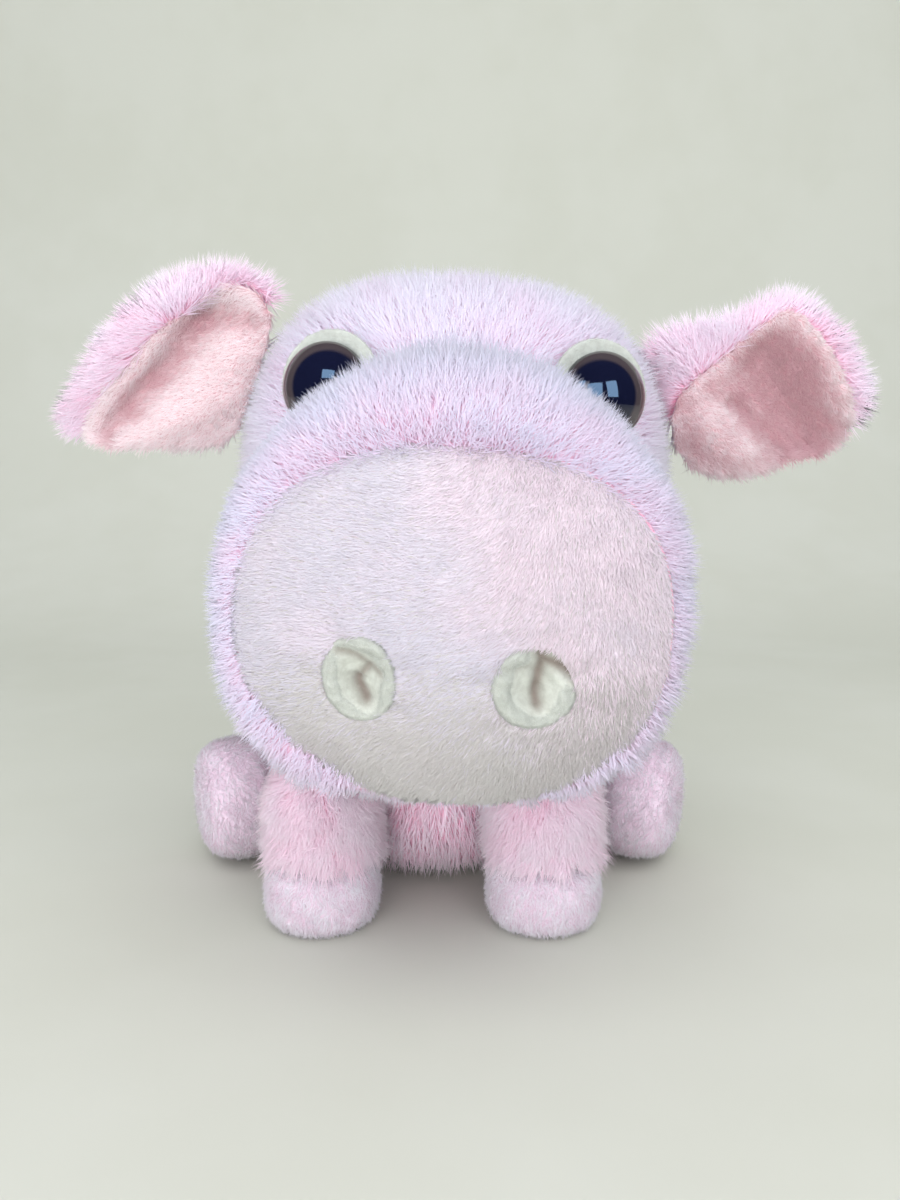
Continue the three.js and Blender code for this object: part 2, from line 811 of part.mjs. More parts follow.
// The pieces.

const pieces = new THREE.Group();
const headGroup = new THREE.Group();
headGroup.matrixAutoUpdate = false;
headGroup.matrix.copy(lean);
pieces.add(headGroup);

function put(group, name, manifold, material) {
  const mesh = new THREE.Mesh(geometryOf(manifold), material());
  mesh.name = name;
  group.add(mesh);
}

// The neck ball is fixed to the body, so the head's own cut is drawn about the same centre.
const headOuter = headBall(0);
const headInner = headBall(-cloth, faces.inner, 9);
const muzzleInner = muzzleBarrel(-cloth, faces.inner, 7);
const panelInner = panelDome(-panel.cloth, overrun, faces.inner, 4);

let headSkin = headOuter.subtract(headInner).subtract(muzzleInner).subtract(neckBall(running));
let muzzleSkin = muzzleBarrel(0)
  .subtract(muzzleInner)
  .subtract(headBall(gap))
  .subtract(panelDome(gap, panel.tuck + gap))
  .subtract(panelInner);
let panelSkin = panelDome(0, panel.tuck).subtract(panelInner);
let headStuffing = headBall(-cloth - gap, faces.inner, 9)
  .add(muzzleBarrel(-cloth - gap, faces.inner, 7))
  .subtract(panelDome(gap, panel.tuck + gap))
  .add(panelDome(-panel.cloth - gap, overrun, faces.inner, 4))
  .subtract(neckBall(running));

for (const [, side] of sides) {
  headSkin = headSkin
    .subtract(feltSeat(side))
    .subtract(stemHole(side))
    .subtract(washerDisc(side, gap))
    .subtract(seamBead(side, gap));
  muzzleSkin = muzzleSkin.subtract(feltSeat(side)).subtract(washerDisc(side, gap));
  headStuffing = headStuffing
    .subtract(washerDisc(side, gap))
    .subtract(stemHole(side))
    .subtract(nostrilDish(side, gap));
  panelSkin = panelSkin.subtract(nostrilDish(side, gap));
}

put(headGroup, 'head_skin', headSkin, finishes.pile);
put(headGroup, 'head_stuffing', headStuffing, finishes.stuffing);
put(headGroup, 'muzzle_skin', muzzleSkin, finishes.muzzle);
put(headGroup, 'snout_panel', panelSkin, finishes.panel);

for (const [word, side] of sides) {
  put(headGroup, `nostril_${word}`, nostrilDish(side, 0), finishes.nostril);
  put(headGroup, `eye_${word}`, eyeCap(side, 0), finishes.dome);
  put(headGroup, `eye_felt_${word}`, feltDisc(side, 0).subtract(stemHole(side)), finishes.felt);
  put(
    headGroup, `eye_washer_${word}`, washerDisc(side, 0).subtract(stemHole(side)), finishes.washer,
  );
  const shares = side < 0
    ? [leftBackShares, leftLiningShares]
    : [rightBackShares, rightLiningShares];
  const { back, lining } = earPieces(side, ...shares);
  put(headGroup, `ear_back_${word}`, back, finishes.pile);
  put(headGroup, `ear_lining_${word}`, lining, finishes.lining);
}

const floor = halfSpaceBelow(0);
const bodyInner = bodyForm(-cloth);
let bodySkin = bodyForm(0).subtract(bodyInner).subtract(floor).subtract(tailBall(gap));
const beans = new THREE.SphereGeometry(1, faces.small, faces.tail);
beans.scale(pouch.halfWidth, pouch.halfDepth, pouch.halfHeight);
const beanRoom = beans.clone().scale(
  1 + gap / pouch.halfWidth, 1 + gap / pouch.halfDepth, 1 + gap / pouch.halfHeight,
);
beans.translate(0, pouch.y, pouch.z);
beanRoom.translate(0, pouch.y, pouch.z);
const pouchSolid = solid(beans).intersect(bodyForm(-cloth - gap));
let bodyStuffing = bodyForm(-cloth - gap).subtract(solid(beanRoom)).subtract(tailBall(gap));

const legs = [];
for (const [word, side] of sides) {
  // The legs lie in hollows of the body, with room for their swing.
  for (const room of [frontLegRoom(side), hindLegRoom(side)]) {
    bodySkin = bodySkin.subtract(room);
    bodyStuffing = bodyStuffing.subtract(room);
  }

  const reach = cloth + gap;
  legs.push([`front_leg_${word}`, frontLegForm(side, 0, 0)
    .subtract(frontLegForm(side, -cloth, overrun)), finishes.pile]);
  legs.push([`front_hoof_${word}`, frontHoofForm(side, 0)
    .subtract(frontLegForm(side, -cloth, overrun))
    .subtract(floor), finishes.hoof]);
  legs.push([`front_leg_stuffing_${word}`, frontLegForm(side, -reach, overrun - gap),
    finishes.stuffing]);

  legs.push([`hind_leg_${word}`, hindSleeveForm(side, 0, 0)
    .subtract(hindSleeveForm(side, -cloth, overrun))
    .subtract(floor), finishes.pile]);
  legs.push([`hind_hoof_${word}`, hindHoofForm(side, 0, 0)
    .subtract(hindSleeveForm(side, -cloth, overrun))
    .subtract(floor), finishes.hoof]);
  legs.push([`hind_leg_stuffing_${word}`, hindSleeveForm(side, -reach, overrun - gap),
    finishes.stuffing]);
}

put(pieces, 'body_skin', bodySkin, finishes.pile);
put(pieces, 'body_stuffing', bodyStuffing, finishes.stuffing);
put(pieces, 'bean_pouch', pouchSolid, finishes.pouch);
put(pieces, 'tail', tailBall(0).add(tailCurl()), finishes.pile);
for (const [name, manifold, material] of legs) put(pieces, name, manifold, material);

// The footprint box's middle becomes the origin.
pieces.updateMatrixWorld(true);
const box = new THREE.Box3();
pieces.traverse((piece) => {
  if (!piece.isMesh) return;
  piece.geometry.computeBoundingBox();
  const at = piece.geometry.getAttribute('position');
  const p = new THREE.Vector3();
  for (let i = 0; i < at.count; i += 1) {
    box.expandByPoint(p.fromBufferAttribute(at, i).applyMatrix4(piece.matrixWorld));
  }
});
const middle = box.getCenter(new THREE.Vector3());
pieces.position.set(-middle.x, -middle.y, 0);

const pig = new THREE.Group();
pig.add(pieces);

export default pig;
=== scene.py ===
# A sitting plush pig with a very large head: its looks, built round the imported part.
import json
import logging
import math
from contextlib import contextmanager
from dataclasses import dataclass
from enum import Enum
from typing import Callable, Iterator, Optional, Sequence, Union

import bpy
import numpy as np
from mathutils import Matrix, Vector

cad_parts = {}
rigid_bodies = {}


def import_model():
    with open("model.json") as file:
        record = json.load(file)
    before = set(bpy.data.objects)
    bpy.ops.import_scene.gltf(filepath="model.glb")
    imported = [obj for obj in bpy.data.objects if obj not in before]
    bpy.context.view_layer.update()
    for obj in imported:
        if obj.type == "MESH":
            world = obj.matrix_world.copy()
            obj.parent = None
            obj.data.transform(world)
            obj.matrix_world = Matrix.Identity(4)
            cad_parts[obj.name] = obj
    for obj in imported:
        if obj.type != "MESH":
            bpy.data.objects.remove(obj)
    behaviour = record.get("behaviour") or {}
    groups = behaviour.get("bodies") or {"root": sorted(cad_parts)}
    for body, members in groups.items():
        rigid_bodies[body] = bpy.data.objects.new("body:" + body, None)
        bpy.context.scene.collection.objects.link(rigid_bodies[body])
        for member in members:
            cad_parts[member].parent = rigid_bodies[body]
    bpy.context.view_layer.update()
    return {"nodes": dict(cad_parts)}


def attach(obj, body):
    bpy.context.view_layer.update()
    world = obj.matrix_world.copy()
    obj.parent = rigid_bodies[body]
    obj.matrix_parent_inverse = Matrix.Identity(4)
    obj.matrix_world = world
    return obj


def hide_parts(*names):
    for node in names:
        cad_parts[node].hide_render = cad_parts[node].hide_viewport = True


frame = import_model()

log = logging.getLogger("plush_pig")

Piece = bpy.types.Object
Tree = bpy.types.NodeTree
Socket = bpy.types.NodeSocket
Points = np.ndarray
Flow = Callable[[Points, Points], Points]
Colour = tuple[float, float, float, float]
MM = 0.001
UP = np.array((0.0, 0.0, 1.0))


class Side(Enum):
    """A side of the pig, as the viewer sees it."""

    LEFT = -1
    RIGHT = 1

    @property
    def word(self) -> str:
        """The side's name in the names of pieces."""
        return self.name.lower()


# Small helpers for arrays.


def tint(red: float, green: float, blue: float) -> Colour:
    """A screen colour of 0 to 255 as the linear colour that a shader takes."""
    out = []
    for value in (red, green, blue):
        share = value / 255
        out.append(share / 12.92 if share <= 0.04045 else ((share + 0.055) / 1.055) ** 2.4)
    return (out[0], out[1], out[2], 1.0)


def tints(*values: float) -> tuple[Colour, ...]:
    """Several screen colours, three values each."""
    return tuple(tint(*values[k:k + 3]) for k in range(0, len(values), 3))


def unit(v: Points) -> Points:
    """Each row at length one."""
    return v / np.maximum(np.linalg.norm(v, axis=-1, keepdims=True), 1e-12)


def size_of(v: Points) -> Points:
    """The length of each row."""
    return np.linalg.norm(v, axis=1)


def dot(a: Points, b: Points) -> Points:
    """The rows' inner products, one column."""
    return (a * b).sum(axis=-1, keepdims=True)


def ramp(x: Points, low: float, high: float) -> Points:
    """A smooth step from 0 at low to 1 at high."""
    t = np.clip((x - low) / (high - low), 0, 1)
    return t * t * (3 - 2 * t)


def waves(p: Points, size: float, seed: int) -> Points:
    """Soft seeded unevenness over places, about -1 to 1.

    Args:
        p: places, in metres.
        size: how far its swells lie apart, in metres.
        seed: which unevenness.

    Returns:
        One value for each place.
    """
    rng = np.random.default_rng(seed)
    out = np.zeros(len(p))
    for _ in range(7):
        way = unit(rng.normal(size=3))
        out += np.sin(p @ way * (rng.uniform(0.6, 1.7) * 2 * math.pi / size) + rng.uniform(0, 7))
    return out / 2.6


def rounded(line: Sequence[tuple[float, float]], closed: bool = False, times: int = 3) -> Points:
    """Cuts the corners of a flat line until it is round."""
    p = np.array(line, float)
    for _ in range(times):
        after = np.roll(p, -1, axis=0)
        cut = np.stack((p * 0.75 + after * 0.25, p * 0.25 + after * 0.75), axis=1)
        if closed:
            p = cut.reshape(-1, 2)
        else:
            p = np.concatenate((p[:1], cut[:-1].reshape(-1, 2), p[-1:]))
    return p


def line_distance(p: Points, line: Union[Points, Sequence[tuple[float, float]]]) -> Points:
    """How far flat points lie from a broken line."""
    best = np.full(len(p), 1e9)
    for (ax, ay), (bx, by) in zip(line, line[1:]):
        a, d = np.array((ax, ay)), np.array((bx - ax, by - ay))
        t = np.clip(((p - a) @ d) / (d @ d), 0, 1)
        best = np.minimum(best, size_of(p - a - t[:, None] * d))
    return best


# Places. All sizes are in metres. The head is drawn upright and leans about the neck.


@dataclass(frozen=True)
class Lean:
    """The lean of the head about the neck, and the shift from the toy's middle to the frame's."""

    neck: tuple[float, float, float] = (1.5 * MM, 45 * MM, 50 * MM)
    shift: tuple[float, float, float] = (-8.235 * MM, -4.28 * MM, 0.0)
    degrees: float = 3.2

    @property
    def turn(self) -> Points:
        """The lean as a matrix for columns."""
        c, s = math.cos(math.radians(self.degrees)), math.sin(math.radians(self.degrees))
        return np.array(((c, 0, s), (0, 1, 0), (-s, 0, c)))

    def out(self, p: Points) -> Points:
        """From the upright head to the row's frame."""
        return (np.asarray(p) - self.neck) @ self.turn.T + self.neck + self.shift

    def back(self, p: Points) -> Points:
        """From the row's frame to the upright head."""
        return (np.asarray(p) - self.shift - self.neck) @ self.turn + self.neck

    def way(self, v: Points) -> Points:
        """Turns directions from the upright head to the row's frame."""
        return np.asarray(v) @ self.turn.T

    def from_neck(self, p: Points) -> Points:
        """How far places lie from the middle of the neck."""
        return size_of(p - (np.array(self.neck) + self.shift))


LEAN = Lean()


@dataclass(frozen=True)
class Spot:
    """A flat frame on the head: its centre and the axes right, up and outward."""

    centre: Points
    axes: Points  # rows: right, up, outward

    @classmethod
    def facing(cls, x: float, y: float, z: float, yaw: float, pitch: float) -> "Spot":
        """A frame on the upright head that looks outward.

        Args:
            x: place across, metres.
            y: place front to back, metres.
            z: height, metres.
            yaw: turn outward, degrees.
            pitch: tip upward, degrees.

        Returns:
            The frame, leaned with the head.
        """
        a, b = math.radians(yaw), math.radians(pitch)
        out = np.array((math.sin(a) * math.cos(b), -math.cos(a) * math.cos(b), math.sin(b)))
        right = np.array((math.cos(a), math.sin(a), 0.0))
        axes = np.stack((right, np.cross(out, right), out))
        return cls(LEAN.out(np.array((x, y, z))), LEAN.way(axes))

    def to(self, p: Points) -> Points:
        """The frame's own coordinates of places in the row's frame."""
        return (p - self.centre) @ self.axes.T

    def back(self, q: Points) -> Points:
        """Places in the row's frame from the frame's own coordinates."""
        return q @ self.axes + self.centre


# Small helpers for meshes.


def alone(obj: Piece) -> None:
    """Selects one object and nothing else."""
    bpy.ops.object.select_all(action="DESELECT")
    obj.select_set(True)
    bpy.context.view_layer.objects.active = obj


@contextmanager
def editing(pick: str = "SELECT") -> Iterator[None]:
    """Edit mode on the active object, with everything picked, nothing, or what KEEP leaves."""
    bpy.ops.object.mode_set(mode="EDIT")
    if pick != "KEEP":
        bpy.ops.mesh.select_all(action=pick)
    yield
    bpy.ops.object.mode_set(mode="OBJECT")


def finish_with(obj: Piece, kind: str, **values: object) -> None:
    """Adds a modifier, sets it and applies it."""
    alone(obj)
    modifier = obj.modifiers.new(kind, kind)
    for name, value in values.items():
        setattr(modifier, name, value)
    bpy.ops.object.modifier_apply(modifier=modifier.name)


def subdivide(obj: Piece, levels: int = 1) -> None:
    """Rounds a mesh by subdivision, and applies it."""
    finish_with(obj, "SUBSURF", levels=levels, render_levels=levels)


def places(obj: Piece) -> Points:
    """The places of an object's vertices."""
    co = np.zeros(len(obj.data.vertices) * 3, np.float32)
    obj.data.vertices.foreach_get("co", co)
    return co.reshape(-1, 3).astype(float)


def put(obj: Piece, co: Points) -> None:
    """Gives an object's vertices new places."""
    obj.data.vertices.foreach_set("co", np.ascontiguousarray(co, np.float32).ravel())
    obj.data.update()


def upright_normals(obj: Piece) -> Points:
    """The normals at an object's vertices."""
    out = np.zeros(len(obj.data.vertices) * 3, np.float32)
    obj.data.vertex_normals.foreach_get("vector", out)
    return out.reshape(-1, 3).astype(float)


def note(obj: Piece, name: str, values: Points) -> None:
    """Writes one value for each vertex as an attribute that materials read."""
    layer = obj.data.attributes.new(name, "FLOAT", "POINT")
    layer.data.foreach_set("value", np.ascontiguousarray(values, np.float32).ravel())


def smooth(obj: Piece) -> Piece:
    """Shades all faces smooth."""
    obj.data.polygons.foreach_set("use_smooth", np.ones(len(obj.data.polygons), bool))
    return obj


def copy_of(name: str, *nodes: str) -> Piece:
    """A merged copy of CAD nodes as one new object."""
    bpy.ops.object.select_all(action="DESELECT")
    made = []
    for node in nodes:
        obj = bpy.data.objects.new(name, frame["nodes"][node].data.copy())
        bpy.context.collection.objects.link(obj)
        obj.select_set(True)
        made.append(obj)
    bpy.context.view_layer.objects.active = made[0]
    if len(made) > 1:
        bpy.ops.object.join()
    with editing():
        bpy.ops.mesh.remove_doubles(threshold=1e-5)
    made[0].data.materials.clear()
    made[0].name = made[0].data.name = name
    return made[0]


def cut_away(obj: Piece, point: Points, way: Points) -> None:
    """Cuts off what lies beyond a plane, on the side that way points to, and closes the cut."""
    alone(obj)
    with editing():
        bpy.ops.mesh.bisect(plane_co=tuple(point), plane_no=tuple(way), use_fill=True,
                            clear_outer=True)


def outer_shell(obj: Piece) -> None:
    """Keeps only the shell that holds the highest point."""
    alone(obj)
    with editing("DESELECT"):
        pass
    obj.data.vertices[int(places(obj)[:, 2].argmax())].select = True
    with editing("KEEP"):
        bpy.ops.mesh.select_linked()
        bpy.ops.mesh.select_all(action="INVERT")
        bpy.ops.mesh.delete(type="VERT")


def ball(name: str, around: int, rings: int) -> Piece:
    """A ball of radius one with its poles along Z, to be shaped.

    Blender numbers a ball's corners anew in each run. They are numbered by place here, so that
    the strands that are dealt over its faces stand the same in each run.
    """
    bpy.ops.object.select_all(action="DESELECT")
    bpy.ops.mesh.primitive_uv_sphere_add(segments=around, ring_count=rings, radius=1)
    obj = bpy.context.active_object
    obj.name = obj.data.name = name
    co = places(obj)
    order = np.lexsort(np.round(co, 5).T)
    rank = np.argsort(order)
    faces = []
    for face in obj.data.polygons:
        corners = [int(rank[v]) for v in face.vertices]
        first = corners.index(min(corners))
        faces.append(corners[first:] + corners[:first])
    obj.data.clear_geometry()
    obj.data.from_pydata(co[order].tolist(), [], sorted(faces))
    return obj


def ring_tube(name: str, line: Points, radius: float, closed: bool = True) -> Piece:
    """A soft thread along a line of points, as a mesh."""
    curve = bpy.data.curves.new(name, "CURVE")
    curve.dimensions = "3D"
    spline = curve.splines.new("POLY")
    spline.points.add(len(line) - 1)
    for point, place in zip(spline.points, line):
        point.co = (*place, 1)
    spline.use_cyclic_u = closed
    curve.bevel_depth = radius
    curve.bevel_resolution = 3
    curve.use_fill_caps = not closed
    obj = bpy.data.objects.new(name, curve)
    bpy.context.collection.objects.link(obj)
    alone(obj)
    bpy.ops.object.convert(target="MESH")
    return smooth(bpy.context.active_object)


# Finishes.

Value = Union[float, Colour, Socket]
PILE_PARTS = [f"{tone} {part}" for tone in ("Pink", "Pale") for part in ("root", "middle", "tip")]
CLOTH_SHINE = 0.2


def node(tree: Tree, kind: str, inputs: dict[Union[int, str], Value],
         **settings: object) -> bpy.types.Node:
    """Adds a node, sets it and links or fills its sockets.

    Args:
        tree: the tree that gets it.
        kind: the node's type name.
        inputs: a value or another node's output for each named or numbered input.
        settings: the node's own settings.

    Returns:
        The node.
    """
    made = tree.nodes.new(kind)
    for name, value in settings.items():
        setattr(made, name, value)
    connect(tree, made, inputs)
    return made


def connect(tree: Tree, made: bpy.types.Node,
            inputs: dict[Union[int, str], Value]) -> None:
    """Links or fills a node's named or numbered sockets."""
    for key, value in inputs.items():
        if isinstance(value, Socket):
            tree.links.new(value, made.inputs[key])
        else:
            made.inputs[key].default_value = value


def finished(name: str, sockets: Callable[[Tree], dict[str, Value]]) -> bpy.types.Material:
    """A material whose main shader gets the sockets that a function makes in its tree."""
    made = bpy.data.materials.new(name)
    made.use_nodes = True
    tree = made.node_tree
    connect(tree, tree.nodes["Principled BSDF"], sockets(tree))
    return made


def mixed(tree: Tree, share: Value, a: Value, b: Value,
          how: str = "MIX") -> Socket:
    """A colour between two others."""
    made = node(tree, "ShaderNodeMix", {0: share, 6: a, 7: b}, data_type="RGBA", blend_type=how)
    return made.outputs[2]


def stretched(tree: Tree, value: Value, low: float, high: float,
              to_low: float = 0.0, to_high: float = 1.0) -> Socket:
    """A value moved smoothly from one range to another."""
    made = node(tree, "ShaderNodeMapRange", {0: value, 1: low, 2: high, 3: to_low, 4: to_high},
                interpolation_type="SMOOTHSTEP")
    return made.outputs[0]


def read(tree: Tree, name: str) -> Socket:
    """The value of a mesh attribute."""
    return node(tree, "ShaderNodeAttribute", {}, attribute_name=name).outputs["Fac"]


def new_group(name: str, inputs: dict[str, str],
              outputs: dict[str, str]) -> tuple[Tree, dict, bpy.types.Node]:
    """Starts a shader node group.

    Args:
        name: the group's name.
        inputs: names and socket kinds of its inputs.
        outputs: names and socket kinds of its outputs.

    Returns:
        The tree, its inputs by name, and the output node.
    """
    tree = bpy.data.node_groups.new(name, "ShaderNodeTree")
    for ways, rows in (("INPUT", inputs), ("OUTPUT", outputs)):
        for title, kind in rows.items():
            tree.interface.new_socket(name=title, in_out=ways, socket_type=kind)
    start = tree.nodes.new("NodeGroupInput")
    end = tree.nodes.new("NodeGroupOutput")
    return tree, {title: start.outputs[title] for title in inputs}, end


class Effects:
    """The shader node groups that several finishes use."""

    def __init__(self) -> None:
        """Builds each group once."""
        self.pile = self.pile_colour()
        self.cloth = self.cloth_grain()

    def pile_colour(self) -> Tree:
        """Pile from root to tip, between a pinker and a paler strand."""
        tree, given, end = new_group("pile_colour", dict.fromkeys(PILE_PARTS, "NodeSocketColor"),
                                     {"Color": "NodeSocketColor"})
        along, tone = read(tree, "along"), read(tree, "tone")
        low, high = stretched(tree, along, 0.0, 0.38), stretched(tree, along, 0.3, 0.95)
        both = []
        for word in ("Pink", "Pale"):
            first = mixed(tree, low, given[f"{word} root"], given[f"{word} middle"])
            both.append(mixed(tree, high, first, given[f"{word} tip"]))
        tree.links.new(mixed(tree, stretched(tree, tone, 0.0, 1.0), *both), end.inputs["Color"])
        return tree

    def cloth_grain(self) -> Tree:
        """The mottle and the fine height of cloth or felt."""
        tree, given, end = new_group(
            "cloth_grain", dict.fromkeys(("Scale", "Fine scale"), "NodeSocketFloat"),
            dict.fromkeys(("Mottle", "Height"), "NodeSocketFloat"))
        place = node(tree, "ShaderNodeTexCoord", {}).outputs["Object"]
        coarse = node(tree, "ShaderNodeTexNoise",
                      {"Vector": place, "Scale": given["Scale"], "Detail": 3.0, "Roughness": 0.6})
        fine = node(tree, "ShaderNodeTexNoise",
                    {"Vector": place, "Scale": given["Fine scale"], "Detail": 2.0})
        tree.links.new(stretched(tree, coarse.outputs[0], 0.35, 0.65), end.inputs["Mottle"])
        tree.links.new(fine.outputs[0], end.inputs["Height"])
        return tree


@dataclass(frozen=True)
class Pile:
    """The finish of standing strands: root, middle and tip of a pinker and of a paler strand."""

    name: str
    pink: tuple[Colour, ...]
    pale: tuple[Colour, ...]
    roughness: float = 0.7
    sheen: float = 0.25

    def material(self, effects: Effects) -> bpy.types.Material:
        """The finish as a material."""
        def sockets(tree: Tree) -> dict[str, Value]:
            """The shader's inputs."""
            colours = dict(zip(PILE_PARTS, (*self.pink, *self.pale)))
            group = node(tree, "ShaderNodeGroup", colours, node_tree=effects.pile)
            return {"Base Color": group.outputs["Color"], "Roughness": self.roughness,
                    "Specular IOR Level": CLOTH_SHINE, "Sheen Weight": self.sheen,
                    "Sheen Roughness": 0.5}

        return finished(self.name, sockets)


@dataclass(frozen=True)
class Cloth:
    """The finish of a backing cloth, felt or nap: two mottled colours, a fine height and, where
    given, painted shade in creases.
    """

    name: str
    colour: Colour
    other: Colour
    deep: Optional[Colour] = None  # painted shade in creases, where the mesh notes them
    scale: float = 220.0
    fine: float = 1400.0
    bump: float = 0.4
    depth: float = 0.3 * MM
    roughness: float = 0.9
    sheen: float = 0.2

    def material(self, effects: Effects) -> bpy.types.Material:
        """The finish as a material."""
        def sockets(tree: Tree) -> dict[str, Value]:
            """The shader's inputs."""
            grain = node(tree, "ShaderNodeGroup", {"Scale": self.scale, "Fine scale": self.fine},
                         node_tree=effects.cloth).outputs
            colour = mixed(tree, grain["Mottle"], self.colour, self.other)
            if self.deep is not None:
                # Painted shade: the colour darkens toward deep along the creases that the mesh
                # notes.
                colour = mixed(tree, read(tree, "crease"), colour, self.deep)
            bump = node(tree, "ShaderNodeBump", {"Strength": self.bump, "Distance": self.depth,
                                                 "Height": grain["Height"]})
            return {"Base Color": colour, "Normal": bump.outputs[0], "Roughness": self.roughness,
                    "Specular IOR Level": CLOTH_SHINE, "Sheen Weight": self.sheen}

        return finished(self.name, sockets)


@dataclass(frozen=True)
class Gloss:
    """The finish of the moulded eye: a dark middle, a lighter rim and a hard shine."""

    name: str = "eye_gloss"
    middle: Colour = tint(17, 20, 42)
    rim: Colour = tint(68, 60, 64)
    edge: Colour = tint(40, 38, 41)

    def material(self, effects: Effects) -> bpy.types.Material:
        """The finish as a material."""
        def sockets(tree: Tree) -> dict[str, Value]:
            """The shader's inputs."""
            rim = read(tree, "rim")
            colour = mixed(tree, stretched(tree, rim, 0.72, 0.84), self.middle, self.rim)
            colour = mixed(tree, stretched(tree, rim, 1.02, 1.15), colour, self.edge)
            grain = node(tree, "ShaderNodeGroup", {"Scale": 500.0, "Fine scale": 900.0},
                         node_tree=effects.cloth).outputs
            rough = stretched(tree, grain["Mottle"], 0.0, 1.0, 0.035, 0.075)
            return {"Base Color": colour, "Roughness": rough, "Coat Weight": 0.3,
                    "Coat Roughness": 0.03}

        return finished(self.name, sockets)


class Finishes:
    """All materials of the pig, by the name of their cloth."""

    def __init__(self) -> None:
        """Builds each material once."""
        effects = Effects()
        rows = [
            Pile("long_pile", tints(235, 178, 208, 239, 213, 237, 240, 227, 248),
                 tints(236, 208, 231, 238, 229, 249, 238, 237, 253)),
            Pile("muzzle_pile", tints(230, 180, 209, 228, 205, 227, 226, 214, 235),
                 tints(221, 203, 223, 217, 213, 232, 218, 219, 241)),
            Pile("ear_pile", tints(240, 152, 184, 246, 198, 222, 247, 219, 240),
                 tints(245, 187, 213, 247, 220, 240, 246, 235, 250)),
            Pile("leg_pile", tints(248, 164, 198, 252, 206, 229, 253, 222, 240),
                 tints(250, 194, 219, 253, 225, 243, 253, 238, 250)),
            Pile("hoof_pile", tints(208, 174, 194, 224, 207, 222, 231, 218, 231),
                 tints(217, 198, 211, 231, 222, 233, 237, 233, 242)),
            Pile("panel_nap", tints(217, 198, 209, 226, 210, 221, 231, 219, 229),
                 tints(202, 195, 205, 208, 203, 214, 214, 210, 222)),
            # Painted shade: a darker, greyer copy of the panel's nap for its downturned foot.
            Pile("panel_nap_low", tints(190, 181, 182, 198, 191, 192, 205, 199, 201),
                 tints(190, 183, 182, 200, 195, 194, 208, 205, 204)),
            # The darker set is the lining in painted shade for its valleys, the paler set the
            # lining in painted highlight for its ridges.
            Pile("lining_nap", tints(190, 136, 144, 204, 156, 165, 214, 174, 182),
                 tints(224, 184, 191, 241, 216, 222, 250, 239, 243)),
            Pile("felt_fuzz", tints(180, 182, 175, 190, 193, 186, 199, 203, 196),
                 tints(190, 193, 186, 200, 204, 197, 209, 214, 208)),
            Cloth("pile_backing", tint(238, 190, 214), tint(240, 202, 222)),
            Cloth("panel_cloth", tint(208, 194, 203), tint(212, 201, 209), fine=1800.0, bump=0.6),
            Cloth("lining_cloth", tint(208, 160, 168), tint(218, 178, 185), fine=1800.0, bump=0.6),
            Cloth("hoof_cloth", tint(222, 196, 214), tint(230, 210, 226), fine=1800.0),
            # The third colour is the painted shade of the nostrils' creases.
            Cloth("cream_felt", tint(186, 188, 180), tint(196, 199, 191), tint(112, 94, 86),
                  scale=500.0, fine=2600.0, bump=0.8),
            Cloth("ring_felt", tint(184, 187, 181), tint(194, 198, 192), scale=500.0, fine=2600.0,
                  bump=0.8),
            Cloth("pouch_cloth", tint(206, 199, 187), tint(218, 212, 200), bump=0.8),
            Cloth("seam_thread", tint(232, 168, 194), tint(238, 186, 208), fine=3000.0, bump=1.0),
            Cloth("floor_paper", tint(206, 207, 196), tint(209, 210, 200), scale=6.0, fine=200.0,
                  bump=0.05, sheen=0.0),
            Cloth("washer_plastic", tint(236, 236, 232), tint(222, 222, 216), scale=90.0,
                  fine=600.0, bump=0.15, roughness=0.4, sheen=0.0),
            Gloss(),
        ]
        self.made = {row.name: row.material(effects) for row in rows}

    def dress(self, obj: Piece, name: str) -> None:
        """Gives a piece one of the materials."""
        obj.data.materials.clear()
        obj.data.materials.append(self.made[name])

    def fit(self, obj: Piece, name: str, body: str, slot: str, *nodes: str,
            fill: Optional[float] = None) -> None:
        """Dresses a new piece and fixes it to its body.

        Args:
            obj: the piece.
            name: the material's name.
            body: the body that it rides on.
            slot: its material slot in the record; not used.
            nodes: the CAD nodes that it stands for.
            fill: how full it is, for a stuffed piece; not used.
        """
        self.dress(obj, name)
        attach(obj, body)
        if nodes:
            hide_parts(*nodes)
        log.info("%s rides on %s, %d faces", obj.name, body, len(obj.data.polygons))


# Strands.


def tuft_centres(p: Points, size: float, seed: int) -> tuple[Points, Points]:
    """The middle of the tuft that each root belongs to.

    Args:
        p: roots.
        size: how far tufts lie apart, metres.
        seed: which tufts.

    Returns:
        The tufts' middles and three numbers of 0 to 1 that are the same over a tuft.
    """
    cell = np.floor(p / size)
    best = np.full(len(p), 1e9)
    middle, told = p.copy(), np.zeros((len(p), 3))
    for dx in (-1, 0, 1):
        for dy in (-1, 0, 1):
            for dz in (-1, 0, 1):
                at = cell + (dx, dy, dz)
                key = at @ np.array((12.9898, 78.233, 37.719)) + seed * 0.731
                chance = np.stack([np.modf(np.abs(np.sin(key * k) * 43758.5453))[0]
                                   for k in (1.0, 1.37, 2.11)], axis=1)
                place = (at + 0.1 + 0.8 * chance) * size
                far = ((p - place) ** 2).sum(axis=1)
                near = far < best
                best = np.where(near, far, best)
                middle = np.where(near[:, None], place, middle)
                told = np.where(near[:, None], chance, told)
    return middle, told


